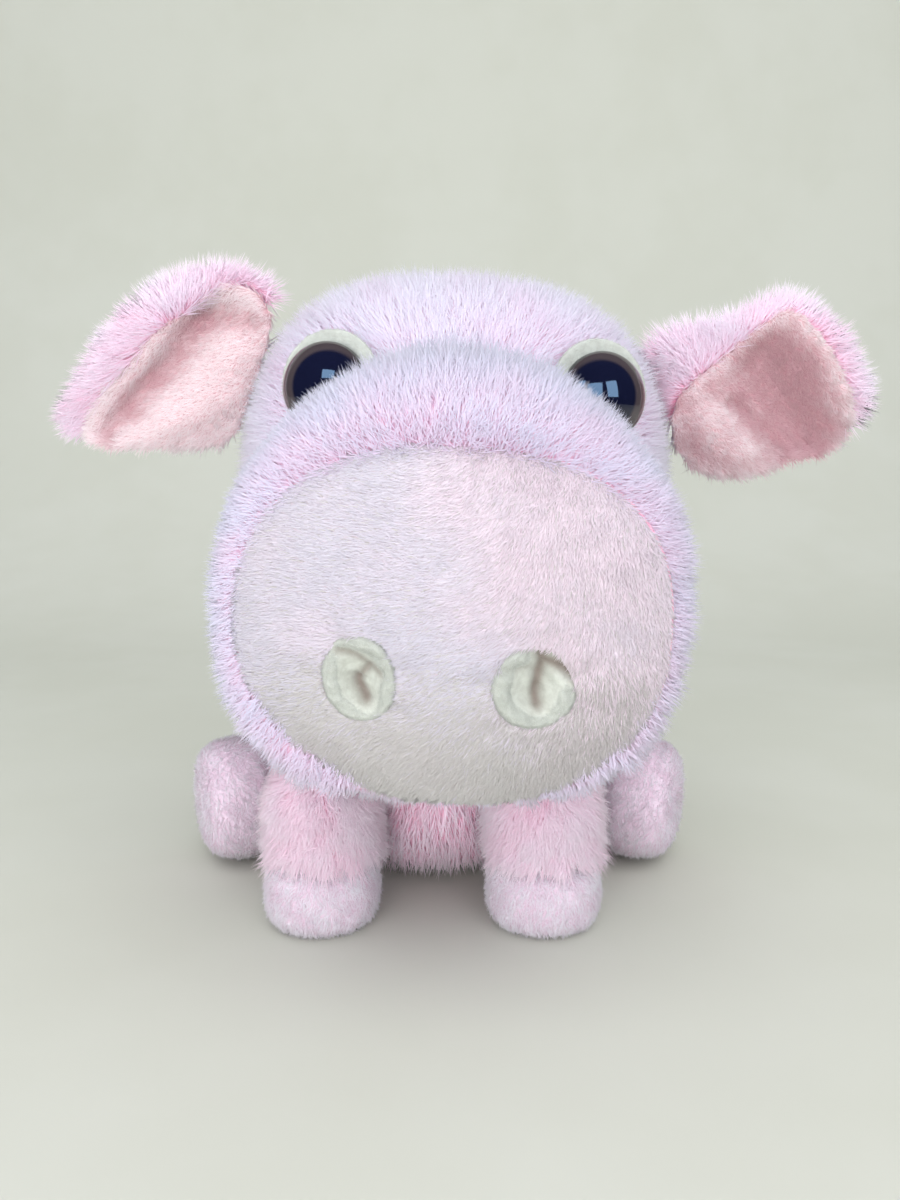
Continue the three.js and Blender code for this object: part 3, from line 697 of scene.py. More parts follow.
@dataclass(frozen=True)
class Strands:
    """How one kind of pile stands, and the making of its strands.

    A strand is a thin spike of three faces. Its tip is drawn to the middle of its tuft.
    """

    length: float
    width: float
    lean: float = 35.0        # degrees from upright at the root
    bend: float = 32.0        # further degrees up to the tip
    stray: float = 0.3        # radians, of each strand
    tuft: float = 4 * MM      # between tufts
    gather: float = 0.5       # share by which tips meet
    tuft_stray: float = 0.35  # radians, of each tuft
    sag: float = 0.1          # share of the length that the tip drops
    uneven: float = 0.3       # share by which lengths differ
    speckle: float = 1.0      # how much colours differ from strand to strand
    lean_stray: float = 0.22  # share of the lean, of each strand
    bend_stray: float = 0.3   # share of the bend, of each strand
    soft: float = 0.55        # how far a strand is shaded like the skin below it,
    rounding: float = 0.9     # and how far like a round thread

    def cover(self, finishes: Finishes, fit: tuple[str, str, str], name: str,
              skin: Piece, count: int, seed: int, comb: Flow, **ways: Flow) -> None:
        """Grows strands, and fits them by a material and a body."""
        finishes.fit(self.grow(name, skin, count, seed, comb, **ways), *fit)

    def grow(self, name: str, skin: Piece, count: int, seed: int, comb: Flow,
             keep: Optional[Flow] = None, reach: Optional[Flow] = None,
             tone: Optional[Flow] = None) -> Piece:
        """Grows strands on a skin.

        Args:
            name: the new piece's name.
            skin: the mesh that they stand on.
            count: how many.
            seed: of all that is random.
            comb: the way that the strands lie, from places and normals.
            keep: how dense they stand, 0 to 1, from places and normals.
            reach: share of the length, from places and normals.
            tone: 0 for pinker to 1 for paler, from places and normals.

        Returns:
            The strands as one mesh object.
        """
        rng = np.random.default_rng(seed)
        root, up = self.roots(skin, count, rng, keep)
        count = len(root)
        middle, told = tuft_centres(root, self.tuft, seed)
        to_middle = middle - root
        to_middle -= dot(to_middle, up) * up

        lie = comb(root, up)
        lie = unit(lie - dot(lie, up) * up)
        turn = rng.normal(0, self.stray, (count, 1)) + (told[:, :1] - 0.5) * 2 * self.tuft_stray
        lie = lie * np.cos(turn) + np.cross(up, lie) * np.sin(turn)
        lean = np.radians(self.lean) * (1 + rng.normal(0, self.lean_stray, (count, 1))
                                        + (told[:, 1:2] - 0.5) * 0.5)
        bend = np.radians(self.bend) * (1 + rng.normal(0, self.bend_stray, (count, 1)))
        length = self.length * (1 + self.uneven * (rng.random((count, 1)) - 0.6)
                                + 0.5 * self.uneven * (told[:, 2:] - 0.5))
        if reach is not None:
            length = length * reach(root, up).reshape(-1, 1)

        def at(t: float) -> Points:
            """Places along the strands."""
            rise = (np.sin(lean + bend * t) - np.sin(lean)) / bend
            over = (np.cos(lean) - np.cos(lean + bend * t)) / bend
            p = root + length * (up * rise + lie * over) - UP * length * self.sag * t * t
            return p + to_middle * self.gather * t ** 1.4

        first, tip = at(0.0), at(1.0)
        along = unit(tip - first)
        side = unit(np.cross(along, up))
        over = np.cross(along, side)
        wide = self.width * 0.8 * (0.75 + 0.5 * rng.random((count, 1)))
        roll = rng.random((count, 1)) * 2 * math.pi
        turns = [roll + k * 2 * math.pi / 3 for k in range(3)]
        round_it = [side * np.cos(turn) + over * np.sin(turn) for turn in turns]
        rows = np.stack([first + way * wide for way in round_it] + [tip], axis=1)
        rows[:, :, 2] = np.maximum(rows[:, :, 2], 0.2 * MM)
        soft = unit(up * 0.9 - to_middle / self.tuft * 0.2)
        shade = np.stack([soft * self.soft + way * self.rounding for way in round_it]
                         + [soft * 0.6 + along * 0.6], axis=1)
        level = np.full(count, 0.5) if tone is None else tone(root, up).ravel()
        level = level + self.speckle * ((told[:, 2] - 0.5) * 0.3 + rng.normal(0, 0.09, count))
        level = np.clip(level, 0.01, 0.99)
        return self.mesh(name, rows, unit(shade), level)

    def roots(self, skin: Piece, count: int, rng: np.random.Generator,
              keep: Optional[Flow]) -> tuple[Points, Points]:
        """Even random places on a skin, and the normals there."""
        mesh = skin.data
        mesh.calc_loop_triangles()
        corners = np.zeros(len(mesh.loop_triangles) * 3, np.int32)
        mesh.loop_triangles.foreach_get("vertices", corners)
        corners = corners.reshape(-1, 3)
        co, normal = places(skin), upright_normals(skin)
        a, b, c = (co[corners[:, k]] for k in range(3))
        cross = np.cross(b - a, c - a)
        weight = size_of(cross)
        if keep is not None:
            weight = weight * np.clip(keep((a + b + c) / 3, unit(cross)).ravel(), 0, 1)
        total = np.cumsum(weight)
        pick = np.searchsorted(total, (np.arange(count) + rng.random(count)) / count * total[-1])
        pick = np.minimum(pick, len(corners) - 1)
        r, s = np.sqrt(rng.random((count, 1))), rng.random((count, 1))
        shares = (1 - r, r * (1 - s), r * s)
        root = sum(w * co[corners[pick, k]] for k, w in enumerate(shares))
        up = unit(sum(w * normal[corners[pick, k]] for k, w in enumerate(shares)))
        if keep is not None:
            sure = keep(root, up).ravel() > 0.02
            root, up = root[sure], up[sure]
        return root, up

    @staticmethod
    def mesh(name: str, rows: Points, shade: Points, level: Points) -> Piece:
        """One mesh from the strands' rows of four points: three round the root, and the tip."""
        count = len(rows)
        mesh = bpy.data.meshes.new(name)
        mesh.vertices.add(count * 4)
        mesh.vertices.foreach_set("co", rows.astype(np.float32).ravel())
        loops = (np.arange(count)[:, None] * 4 + np.array((0, 1, 3, 1, 2, 3, 2, 0, 3))).ravel()
        mesh.loops.add(count * 9)
        mesh.loops.foreach_set("vertex_index", loops.astype(np.int32))
        mesh.polygons.add(count * 3)
        mesh.polygons.foreach_set("loop_start", (np.arange(count * 3) * 3).astype(np.int32))
        mesh.polygons.foreach_set("use_smooth", np.ones(count * 3, bool))
        mesh.update(calc_edges=True)
        obj = bpy.data.objects.new(name, mesh)
        bpy.context.collection.objects.link(obj)
        along = np.tile(np.array((0.0, 0.0, 0.0, 1.0)), count)
        note(obj, "along", along)
        note(obj, "tone", np.repeat(level, 4))
        layer = mesh.uv_layers.new(name="OFBake")
        offset = np.tile(np.array((-1, 0, 1, 0)) * 0.004, count)
        uv = np.stack((np.repeat(level, 4) * 0.97 + 0.015 + offset, 0.01 + 0.98 * along), axis=1)
        layer.data.foreach_set("uv", uv[loops].astype(np.float32).ravel())
        mesh.normals_split_custom_set_from_vertices(shade.reshape(-1, 3).astype(np.float32))
        return obj


# Stuffed forms.


@dataclass
class Pad:
    """One stuffed form: which CAD nodes it comes from and how it is filled."""

    name: str
    nodes: tuple[str, ...]
    inset: float                 # from the CAD's face down to the backing cloth
    voxel: float = 4.5 * MM
    swell: float = 2.5 * MM      # how far the filling may push the cloth
    soften: int = 6
    cuts: tuple[tuple[Points, Points], ...] = ()
    spare: Optional[Flow] = None  # share of the inset, from places and normals
    rounds: int = 1

    def start(self) -> Piece:
        """The closed form before it is filled."""
        obj = copy_of(self.name, *self.nodes)
        finish_with(obj, "REMESH", mode="VOXEL", voxel_size=self.voxel)
        for point, way in self.cuts:
            cut_away(obj, point, way)
        if self.cuts:
            finish_with(obj, "REMESH", mode="VOXEL", voxel_size=self.voxel)
        outer_shell(obj)
        finish_with(obj, "SMOOTH", factor=0.5, iterations=self.soften)
        co, up = places(obj), upright_normals(obj)
        depth = np.full(len(co), self.inset + 0.5 * self.swell)
        if self.spare is not None:
            depth = depth * self.spare(co, up).ravel()
        put(obj, co - up * depth[:, None])
        self.obj = obj
        return obj

    def settle(self, filled: Points) -> None:
        """Takes the filled shape, as far as it may swell, and rounds it."""
        co = places(self.obj)
        step = filled - co
        far = np.linalg.norm(step, axis=1, keepdims=True)
        put(self.obj, co + step * np.minimum(1, self.swell / np.maximum(far, 1e-9)))
        subdivide(self.obj, self.rounds)
        smooth(self.obj)


FILL_FRAMES = 20
FILL_PRESSURE = 4


def fill(pads: Sequence[Pad]) -> None:
    """Blows all the pads up together as cloth under pressure, and keeps the result."""
    scene = bpy.context.scene
    for pad in pads:
        cloth = pad.obj.modifiers.new("Filling", "CLOTH")
        cloth.settings.quality = 4
        cloth.settings.use_pressure = True
        cloth.settings.uniform_pressure_force = FILL_PRESSURE
        cloth.settings.effector_weights.gravity = 0
        cloth.collision_settings.use_collision = False
        cloth.point_cache.frame_start, cloth.point_cache.frame_end = 1, FILL_FRAMES
    for step in range(1, FILL_FRAMES + 1):
        scene.frame_set(step)
    graph = bpy.context.evaluated_depsgraph_get()
    shapes = [places(pad.obj.evaluated_get(graph)) for pad in pads]
    for pad, shape in zip(pads, shapes):
        pad.obj.modifiers.clear()
        pad.settle(shape)
    scene.frame_set(1)
    log.info("%d pads filled", len(pads))


# The head.


@dataclass
class Eye:
    """One eye: a moulded dome on a ribbed stem in front of a felt ring."""

    side: Side
    yaw: float = 18.0
    pitch: float = 6.0
    radius: float = 14.4 * MM
    height: float = 9.6 * MM
    edge: float = 1.2 * MM
    ring_radius: float = 16.8 * MM
    ring_in: float = 0.9 * MM    # how far the ring sits toward the other eye
    ring_rise: float = 1.8 * MM
    ring_thick: float = 2.0 * MM
    back: float = 0.4 * MM       # how far the dome's back stands off the head's face
    stem_length: float = 13 * MM
    fuzz: int = 3000             # strands

    def __post_init__(self) -> None:
        """Finds the eye's place on the head. Each eye is sewn on by hand."""
        place = (-42.6, -45.1, 188.9) if self.side is Side.LEFT else (46.0, -42.8, 191.0)
        self.spot = Spot.facing(*(v * MM for v in place), self.side.value * self.yaw, self.pitch)
        self.ring_at = np.array((-self.side.value * self.ring_in, self.ring_rise))

    def dome(self, finishes: Finishes) -> None:
        """The dark dome with its skirt and stem."""
        obj = ball(f"eye_dome_{self.side.word}", 64, 32)
        with editing():
            bpy.ops.mesh.bisect(plane_co=(0, 0, 0), plane_no=(0, 0, 1), use_fill=True,
                                clear_inner=True)
            bpy.ops.mesh.select_all(action="DESELECT")
        co = places(obj)
        flat = [p.index for p in obj.data.polygons if all(co[v][2] < 1e-4 for v in p.vertices)]
        put(obj, co * (self.radius, self.radius, self.height - self.edge))
        for index in flat:
            obj.data.polygons[index].select = True
        half_stem = self.stem_length * 0.5
        with editing("KEEP"):
            for down, size in ((self.edge * 0.7, 1.0), (self.edge * 0.3, 0.95), (0.0, 0.3),
                               (half_stem, 1.0), (0.0, 0.8), (half_stem, 1.0)):
                bpy.ops.mesh.extrude_region_move(TRANSFORM_OT_translate={"value": (0, 0, -down)})
                bpy.ops.transform.resize(value=(size, size, 1))
        co = places(obj)
        inward = np.array((-self.side.value * 0.23, -0.06)) * self.radius
        far = size_of(co[:, :2] - inward) / self.radius
        skirt = ramp(size_of(co[:, :2]) / self.radius, 0.93, 1.0)
        rim = far * (1 - skirt) + 1.2 * skirt
        note(obj, "rim", np.where(co[:, 2] > -self.edge * 1.01, rim, 0.5))
        put(obj, self.spot.back(co + (0, 0, self.back + self.edge)))
        smooth(obj)
        alone(obj)
        bpy.ops.object.shade_smooth_by_angle(angle=math.radians(40))
        finishes.fit(obj, "eye_gloss", "head", "eye_dome", f"eye_{self.side.word}")

    def ring(self, finishes: Finishes) -> None:
        """The felt ring behind the dome, with a soft cut edge and a little fuzz."""
        name = f"eye_ring_{self.side.word}"
        bpy.ops.object.select_all(action="DESELECT")
        bpy.ops.mesh.primitive_cylinder_add(vertices=72, radius=self.ring_radius,
                                            depth=self.ring_thick)
        obj = bpy.context.active_object
        obj.name = obj.data.name = name
        with editing():
            bpy.ops.mesh.bevel(offset=0.5 * MM, segments=3, affect="EDGES")
        finish_with(obj, "TRIANGULATE")
        finish_with(obj, "REMESH", mode="VOXEL", voxel_size=0.7 * MM)
        finish_with(obj, "SMOOTH", factor=0.5, iterations=3)
        co = places(obj)
        far = size_of(co[:, :2]) / self.ring_radius
        co[:, 2] += 0.9 * MM * far ** 3 + 0.15 * MM * waves(co, 7 * MM, 11)
        put(obj, self.spot.back(co + (*self.ring_at, -0.6 * MM)))
        smooth(obj)
        finishes.fit(obj, "ring_felt", "head", "grey_felt", f"eye_felt_{self.side.word}")
        Strands(length=0.9 * MM, width=0.09 * MM, lean=25, bend=30, stray=1.5, tuft=1.2 * MM,
                gather=0.2, sag=0.0).cover(
            finishes, ("felt_fuzz", "head", "grey_felt"), f"eye_ring_fuzz_{self.side.word}", obj,
            self.fuzz, 51, lambda p, n: p - self.spot.centre,
            keep=lambda p, n: (self.spot.to(p)[:, 2] > -0.4 * MM) * 1.0)

    def inner(self, across: Points) -> Points:
        """1 on the eye's nose side, from places across it."""
        return ramp(-across * self.side.value, 7 * MM, 13 * MM)

    def clear(self, p: Points, radius: float, ring: bool = True) -> Points:
        """1 for places away from the ring or the dome, 0 inside a radius round its axis."""
        q = self.spot.to(p)
        near = size_of(q[:, :2] - self.ring_at * ring) < radius
        return 1.0 - near * (np.abs(q[:, 2]) < 14 * MM)


@dataclass
class Nostril:
    """One nostril: a round felt dish, puckered where it is pulled in."""

    side: Side
    x: float
    z: float
    wide: float
    tall: float
    turn: float                                   # degrees, of the oval
    creases: tuple[tuple[tuple[float, float], ...], ...]
    depths: tuple[float, ...]                     # of each crease
    spreads: tuple[float, ...]                    # how wide each crease is
    y: float = -105.7 * MM
    dish: float = 3.2 * MM
    roll: float = 0.3                             # share of the radius that the rim's roll takes
    fuzz: int = 3600                              # strands

    def __post_init__(self) -> None:
        """Finds the nostril's place on the panel."""
        self.spot = Spot.facing(self.x, self.y, self.z, 8.0 * self.side.value, -7.0)

    def oval(self, p: Points) -> Points:
        """Distance from the nostril's middle, 1 at its rim."""
        q = self.spot.to(p)[:, :2]
        a = math.radians(self.turn)
        u = q[:, 0] * math.cos(a) + q[:, 1] * math.sin(a)
        v = -q[:, 0] * math.sin(a) + q[:, 1] * math.cos(a)
        return np.hypot(u / self.wide, v / self.tall)

    def build(self, finishes: Finishes) -> None:
        """The felt dish."""
        obj = ball(f"nostril_felt_{self.side.word}", 64, 44)
        co = places(obj)
        flat, up = size_of(co[:, :2]), co[:, 2]
        front = up > -1e-6
        ease = np.where(front, np.sqrt(np.clip(1 - up, 0, 1)) * 0.999, flat)
        share = np.where(front, ease, flat)
        way = co[:, :2] / np.maximum(flat, 1e-9)[:, None]
        a = math.radians(self.turn)
        u, v = way[:, 0] * share * self.wide, way[:, 1] * share * self.tall
        x = u * math.cos(a) - v * math.sin(a)
        y = u * math.sin(a) + v * math.cos(a)
        hollow = -self.dish * (1 - ramp(share, 0.25, 1 - self.roll * 0.9))
        edge = -2.2 * MM * np.clip((share - (1 - self.roll * 0.5)) / (self.roll * 0.5), 0, 1) ** 2
        depth = np.where(front, hollow + edge, -5.2 * MM + 3.0 * MM * np.clip(flat, 0, 1) ** 6)
        unitary = np.stack((x, y), axis=1) / self.wide
        crease, pull = np.zeros(len(co)), np.zeros(len(co))
        for line, deep, spread in zip(self.creases, self.depths, self.spreads):
            far = line_distance(unitary, rounded(line))
            near = (0.55 * np.exp(-(far / (spread * 1.2)) ** 2)
                    + 0.45 * np.exp(-(far / (spread * 0.5)) ** 2))
            pull = np.maximum(pull, deep * near * (share < 0.97))
            # Painted shade: the creases darken toward their middle lines.
            dark = np.exp(-(far / (spread * 0.45)) ** 2) * min(1.0, deep / (3.6 * MM))
            crease = np.maximum(crease, dark)
        plump = 0.35 * MM * waves(np.stack((x, y, 0 * x), axis=1), 6 * MM, 5 + self.side.value)
        depth = np.where(front, depth - pull + plump, depth - 3.0 * MM)
        note(obj, "crease", np.where(front, crease * 0.8, 0))
        put(obj, self.spot.back(np.stack((x, y, depth), axis=1)))
        subdivide(obj)
        smooth(obj)
        finishes.fit(obj, "cream_felt", "head", "cream_felt", f"nostril_{self.side.word}")
        Strands(length=0.9 * MM, width=0.1 * MM, lean=35, bend=40, stray=1.5, tuft=1.0 * MM,
                gather=0.2, sag=0.0).cover(
            finishes, ("felt_fuzz", "head", "cream_felt"), f"nostril_fuzz_{self.side.word}", obj,
            self.fuzz, 61, lambda p, n: p - self.spot.centre,
            keep=lambda p, n: (self.spot.to(p)[:, 2] > -1.4 * MM) * 1.0)


LEFT_NOSTRIL = Nostril(
    Side.LEFT, -23.4 * MM, 107.5 * MM, 10.7 * MM, 12.9 * MM, 14.0,
    creases=(((-0.56, 0.68), (-0.4, 0.67), (-0.17, 0.6), (0.02, 0.47), (0.21, 0.32), (0.51, 0.13)),
             ((0.21, 0.3), (0.085, 0.13), (-0.085, -0.04)),
             ((-0.11, -0.1), (-0.13, -0.21), (0.02, -0.43), (0.15, -0.6))),
    depths=(2.2 * MM, 2.6 * MM, 3.8 * MM), spreads=(0.26, 0.3, 0.34))
RIGHT_NOSTRIL = Nostril(
    Side.RIGHT, 24.9 * MM, 107.6 * MM, 12.6 * MM, 12.5 * MM, 0.0,
    creases=(((0.08, 0.77), (0.15, 0.54), (0.13, 0.31), (0.1, 0.0), (0.1, -0.31), (0.12, -0.44)),
             ((0.15, 0.62), (0.44, 0.54), (0.69, 0.44), (0.92, 0.29)),
             ((-0.75, 0.42), (-0.42, 0.4), (-0.06, 0.44))),
    depths=(3.8 * MM, 3.6 * MM, 1.0 * MM), spreads=(0.3, 0.34, 0.2))


@dataclass
class Panel:
    """The snout panel: a domed cushion of short nap, pulled in at the nostrils."""

    nostrils: tuple[Nostril, Nostril] = (LEFT_NOSTRIL, RIGHT_NOSTRIL)
    half_wide: float = 60.5 * MM
    half_tall: float = 50.5 * MM
    x: float = 1.8 * MM
    z: float = 121.2 * MM
    rim_y: float = -96 * MM
    tuck: float = 7 * MM
    bulge: float = 12 * MM
    # How square each quarter is, from the upper right, leftward.
    powers: tuple[float, float, float, float] = (2.45, 2.35, 2.0, 2.25)
    strands: tuple[int, int] = (60000, 41000)  # of the main nap and of the lower nap, which is darker as painted shade

    def length(self, u: Points, v: Points) -> Points:
        """How far a flat place lies out, 1 on the outline. Each quarter bends in its own way."""
        left, low = ramp(-u, -0.35, 0.35), ramp(-v, -0.35, 0.35)
        a, b, c, d = self.powers
        power = (a * (1 - left) + b * left) * (1 - low) + (c * left + d * (1 - left)) * low
        return (np.abs(u) ** power + np.abs(v) ** power) ** (1 / power)

    def share(self, p: Points) -> Points:
        """The same for places in the row's frame."""
        q = LEAN.back(p)
        u, v = (q[:, 0] - self.x) / self.half_wide, (q[:, 2] - self.z) / self.half_tall
        size = np.maximum(np.hypot(u, v), 1e-9)
        return self.length(u / size, v / size) * size

    def rim(self, count: int, grow: float, y: float) -> Points:
        """Points round the panel's outline, leaned with the head."""
        t = np.linspace(0, 2 * math.pi, count, endpoint=False)
        c, s = np.cos(t), np.sin(t)
        far = self.length(c, s)
        x = self.x + (self.half_wide + grow) * c / far
        z = self.z + (self.half_tall + grow) * s / far
        return LEAN.out(np.stack((x, y + self.slope(s / far), z), axis=1))

    @staticmethod
    def slope(v: Points) -> Points:
        """How far the rim lies back at its foot."""
        return 3.0 * MM * ramp(-v, 0.1, 1.0)

    def build(self, finishes: Finishes) -> None:
        """The cushion with its pits, puckers and nap."""
        obj = ball("snout_cushion", 96, 64)
        co = places(obj)
        turned = np.stack((co[:, 0], -co[:, 2], co[:, 1]), axis=1)  # a pole looks forward
        size = np.hypot(turned[:, 0], turned[:, 2])
        fore = np.clip(-turned[:, 1], -1, 1)
        share = np.where(fore > 0, np.arccos(fore) / (math.pi / 2), size)
        way = turned[:, [0, 2]] / np.maximum(size, 1e-9)[:, None]
        way = way / np.maximum(self.length(way[:, 0], way[:, 1]), 1e-9)[:, None]
        x = self.x + way[:, 0] * share * self.half_wide
        z = self.z + way[:, 1] * share * self.half_tall
        dome = (1 - np.clip(share, 0, 1) ** 2.4) ** 0.85
        y = np.where(fore > 0, self.rim_y - self.bulge * dome, self.rim_y - fore * self.tuck)
        y = y + self.slope(way[:, 1] * share)
        co = LEAN.out(np.stack((x, y, z), axis=1))
        for nostril in self.nostrils:
            far = nostril.oval(co)
            wide = nostril.wide
            pit = 8.5 * MM * (1 - ramp(far, 0.6, 0.93))
            dip = 0.9 * MM * np.exp(-((np.maximum(far, 1) - 1) * wide / (5.5 * MM)) ** 2)
            q = nostril.spot.to(co)
            angle = np.arctan2(q[:, 1], q[:, 0])
            fold = np.cos(angle * 7 + nostril.x * 900) + 0.6 * np.cos(angle * 12 + 1.3)
            fold = 0.45 * MM * fold * np.exp(-((far - 1.2) / 0.35) ** 2)
            co = co - nostril.spot.axes[2] * ((pit + dip + fold) * (fore > 0))[:, None]
        flat = LEAN.back(co)[:, [0, 2]] / MM
        for line in (((-58, 108.5), (-48, 109.5), (-36, 108.5)), ((36, 105), (48, 101), (58, 99))):
            co[:, 1] += 0.9 * MM * np.exp(-(line_distance(flat, line) / 2.4) ** 2) * (fore > 0.05)
        put(obj, co)
        subdivide(obj)
        smooth(obj)
        finishes.fit(obj, "panel_cloth", "head", "short_nap", "snout_panel", fill=0.9)
        self.nap(obj, finishes)
        seam = ring_tube("snout_seam", self.rim(160, 0.2 * MM, self.rim_y + 0.8 * MM), 0.6 * MM)
        finishes.fit(seam, "seam_thread", "head", "short_nap")

    def comb(self, p: Points, n: Points) -> Points:
        """The nap lies across on the left, upright on the right and slanted at the foot."""
        q = LEAN.back(p) / MM
        x, z = q[:, 0], q[:, 2] - self.z / MM
        right = ramp(x + 0.5 * z, -8, 42)
        low = ramp(-z + 0.15 * x, 12, 40)
        angle = np.radians(188) + np.radians(70) * right + np.radians(38) * low * (1 - right)
        angle = angle + 0.25 * waves(p, 38 * MM, 3)
        return LEAN.way(np.stack((np.cos(angle), 0 * angle, np.sin(angle)), axis=1))

    def nap(self, skin: Piece, finishes: Finishes) -> None:
        """The short nap, in two naps of strands; the lower one is darker and greyer as painted
        shade.
        """
        def keep(p: Points, n: Points) -> Points:
            """Only on the front, and outside the nostrils."""
            front = ramp(-LEAN.back(p)[:, 1], 89 * MM, 92 * MM)
            for nostril in self.nostrils:
                front = front * (nostril.oval(p) > 0.91)
            return front

        def tone(p: Points, n: Points) -> Points:
            """Pinker to the upper right, paler on the left."""
            q = LEAN.back(p) / MM
            x, z = q[:, 0], q[:, 2] - self.z / MM
            return 0.8 - 0.65 * ramp(x + 0.5 * z, -6, 30) + 0.14 * waves(p, 30 * MM, 8)

        def low(p: Points) -> Points:
            """1 at the panel's foot, where the nap is darker and greyer as painted shade."""
            q = LEAN.back(p) / MM
            return ramp(self.z / MM - q[:, 2] + 3 * waves(p, 24 * MM, 15), 2, 42)

        def reach(p: Points, n: Points) -> Points:
            """One worn tuft stands up on the right."""
            q = LEAN.back(p)[:, [0, 2]] / MM
            worn = np.exp(-((q[:, 0] - 49) / 4.5) ** 2 - ((q[:, 1] - 143) / 2.5) ** 2)
            return 1 + 1.1 * worn + 0.12 * waves(p, 9 * MM, 16)

        def worn_tone(p: Points, n: Points) -> Points:
            """The worn tuft is lighter."""
            return tone(p, n) - 0.8 * (reach(p, n) > 1.45)

        nap = Strands(length=2.8 * MM, width=0.27 * MM, lean=56, bend=20, stray=0.22, tuft=2.2 * MM,
                      gather=0.22, tuft_stray=0.2, sag=0.02, uneven=0.5, speckle=0.45)
        # The lower nap takes the darker finish, which is painted shade on the panel's foot.
        for word, seed, count, part in (("high", 21, self.strands[0], lambda p: 1 - low(p)),
                                        ("low", 22, self.strands[1], low)):
            fit = ("panel_nap" if word == "high" else "panel_nap_low", "head", "short_nap")
            nap.cover(finishes, fit, f"snout_nap_{word}", skin, count, seed, self.comb,
                      keep=lambda p, n, part=part: keep(p, n) * np.maximum(part(p), 0.03),
                      reach=reach, tone=worn_tone)


@dataclass
class Ear:
    """One ear: a long-pile back and a short-pile lining on a seam at the side of the head."""

    side: Side
    root: tuple[float, float, float] = (75.2 * MM, -3 * MM, 194.5 * MM)
    tilt: float = 20.0
    sweep: float = 6.0
    back_strands: int = 24500
    lining_strands: int = 21500

    def __post_init__(self) -> None:
        """Finds the ear's own axes: outward, up the seam and forward."""
        sign = self.side.value
        t, w = math.radians(self.tilt), math.radians(-sign * self.sweep)
        seam = np.array((-sign * math.sin(t), 0.0, math.cos(t)))
        flat = np.array((sign * math.cos(t), 0.0, math.sin(t)))
        out = flat * math.cos(w) + np.cross(seam, flat) * math.sin(w)
        fore = np.cross(out, seam) * sign
        root = np.array(self.root) * (sign, 1, 1)
        self.spot = Spot(LEAN.out(root), LEAN.way(np.stack((out, seam, fore))))

    @property
    def body(self) -> str:
        """The body that the ear rides on."""
        return f"ear_{self.side.word}"

    def back_pad(self) -> Pad:
        """The stuffed back, made from both cloths so that it has no dent."""
        word = self.side.word
        return Pad(f"ear_back_form_{word}", (f"ear_back_{word}", f"ear_lining_{word}"),
                   inset=1.9 * MM, voxel=2.4 * MM, swell=0.8 * MM, soften=3)

    def cup(self, u: Points, v: Points) -> Points:
        """How far the ear's leaf stands forward, at places in its plane. All sizes in mm."""
        off = -(u - 23.1) * 0.7809 - (v + 1.2) * 0.6247
        fade = np.clip(u / 20.4, 0, 1)
        return 9 * (0.5 - np.exp(-(off / 18) ** 2)) * fade

    def spread_at(self, turn: Points) -> Points:
        """How far the lining reaches from its middle, mm, in each direction."""
        rim = rounded(self.outline, closed=True) - self.middle
        angles = np.arctan2(rim[:, 1], rim[:, 0])
        order = np.argsort(angles)
        return np.interp(turn, angles[order], size_of(rim)[order], period=2 * math.pi)

    def share(self, flat: Points) -> Points:
        """How far places in the ear's plane lie out in the lining, 1 at its edge."""
        q = flat - self.middle
        return size_of(q) / self.spread_at(np.arctan2(q[:, 1], q[:, 0]))

    def hollow(self, skin: Piece) -> None:
        """Presses the back's stuffing in where the lining lies."""
        co = self.spot.to(places(skin)) / MM
        share = self.share(co[:, :2])
        floor = self.cup(co[:, 0], co[:, 1]) + 1.0 + np.minimum(self.relief(co[:, :2]), 0)
        low = np.minimum(co[:, 2], floor)
        blend = 1 - ramp(share, 0.86, 1.0)
        co[:, 2] = np.where(co[:, 2] > floor - 3, low * blend + co[:, 2] * (1 - blend), co[:, 2])
        put(skin, self.spot.back(co * MM))

    def lining(self, finishes: Finishes) -> None:
        """The lining with its folds, its ruffled edge and its nap."""
        word = self.side.word
        obj = ball(f"ear_inner_{word}", 96, 40)
        line = rounded(self.outline, closed=True)
        co = places(obj)
        turn = np.arctan2(co[:, 1], co[:, 0])
        out = self.spread_at(turn) + 0.5 * np.sin(turn * 23) + 0.4 * np.sin(turn * 37 + 1)
        share = 1 - (np.arcsin(np.clip(np.abs(co[:, 2]), 0, 1)) / (math.pi / 2))
        u = self.middle[0] + np.cos(turn) * out * share
        v = self.middle[1] + np.sin(turn) * out * share
        half = 1.9 * np.sqrt(np.clip(1 - share ** 4, 0, 1)) * np.sign(co[:, 2])
        relief = self.relief(np.stack((u, v), axis=1)) * (1 - share ** 8)
        ruffle = 0.5 * np.sin(turn * 29 + 2) * share ** 6
        w = self.cup(u, v) + 4.2 + half + relief + ruffle
        put(obj, self.spot.back(np.stack((u, v, w), axis=1) * MM))
        if self.side is Side.LEFT:
            obj.data.flip_normals()  # the left ear's own axes are a mirror of the right ear's
        subdivide(obj)
        smooth(obj)
        finishes.fit(obj, "lining_cloth", self.body, "ear_lining", f"ear_lining_{word}", fill=0.3)

        def by_edge(flat: Points, wide: float) -> Points:
            """1 on the lining's edge, less within so many mm of it."""
            return np.exp(-(line_distance(flat, np.concatenate((line, line[:1]))) / wide) ** 2)

        def tone(p: Points, n: Points) -> Points:
            """Painted shade in the valleys and painted highlight on the ridges; paler at the edge,
            partly its pale tufts and partly painted highlight.
            """
            flat = self.spot.to(p)[:, :2] / MM
            # Painted shade: the right lining is set darker overall than the left.
            base = 0.74 if self.side is Side.LEFT else 0.3
            return (base + 0.16 * self.relief(flat) + 0.35 * by_edge(flat, 3.5)
                    + 0.12 * waves(p, 16 * MM, 6))

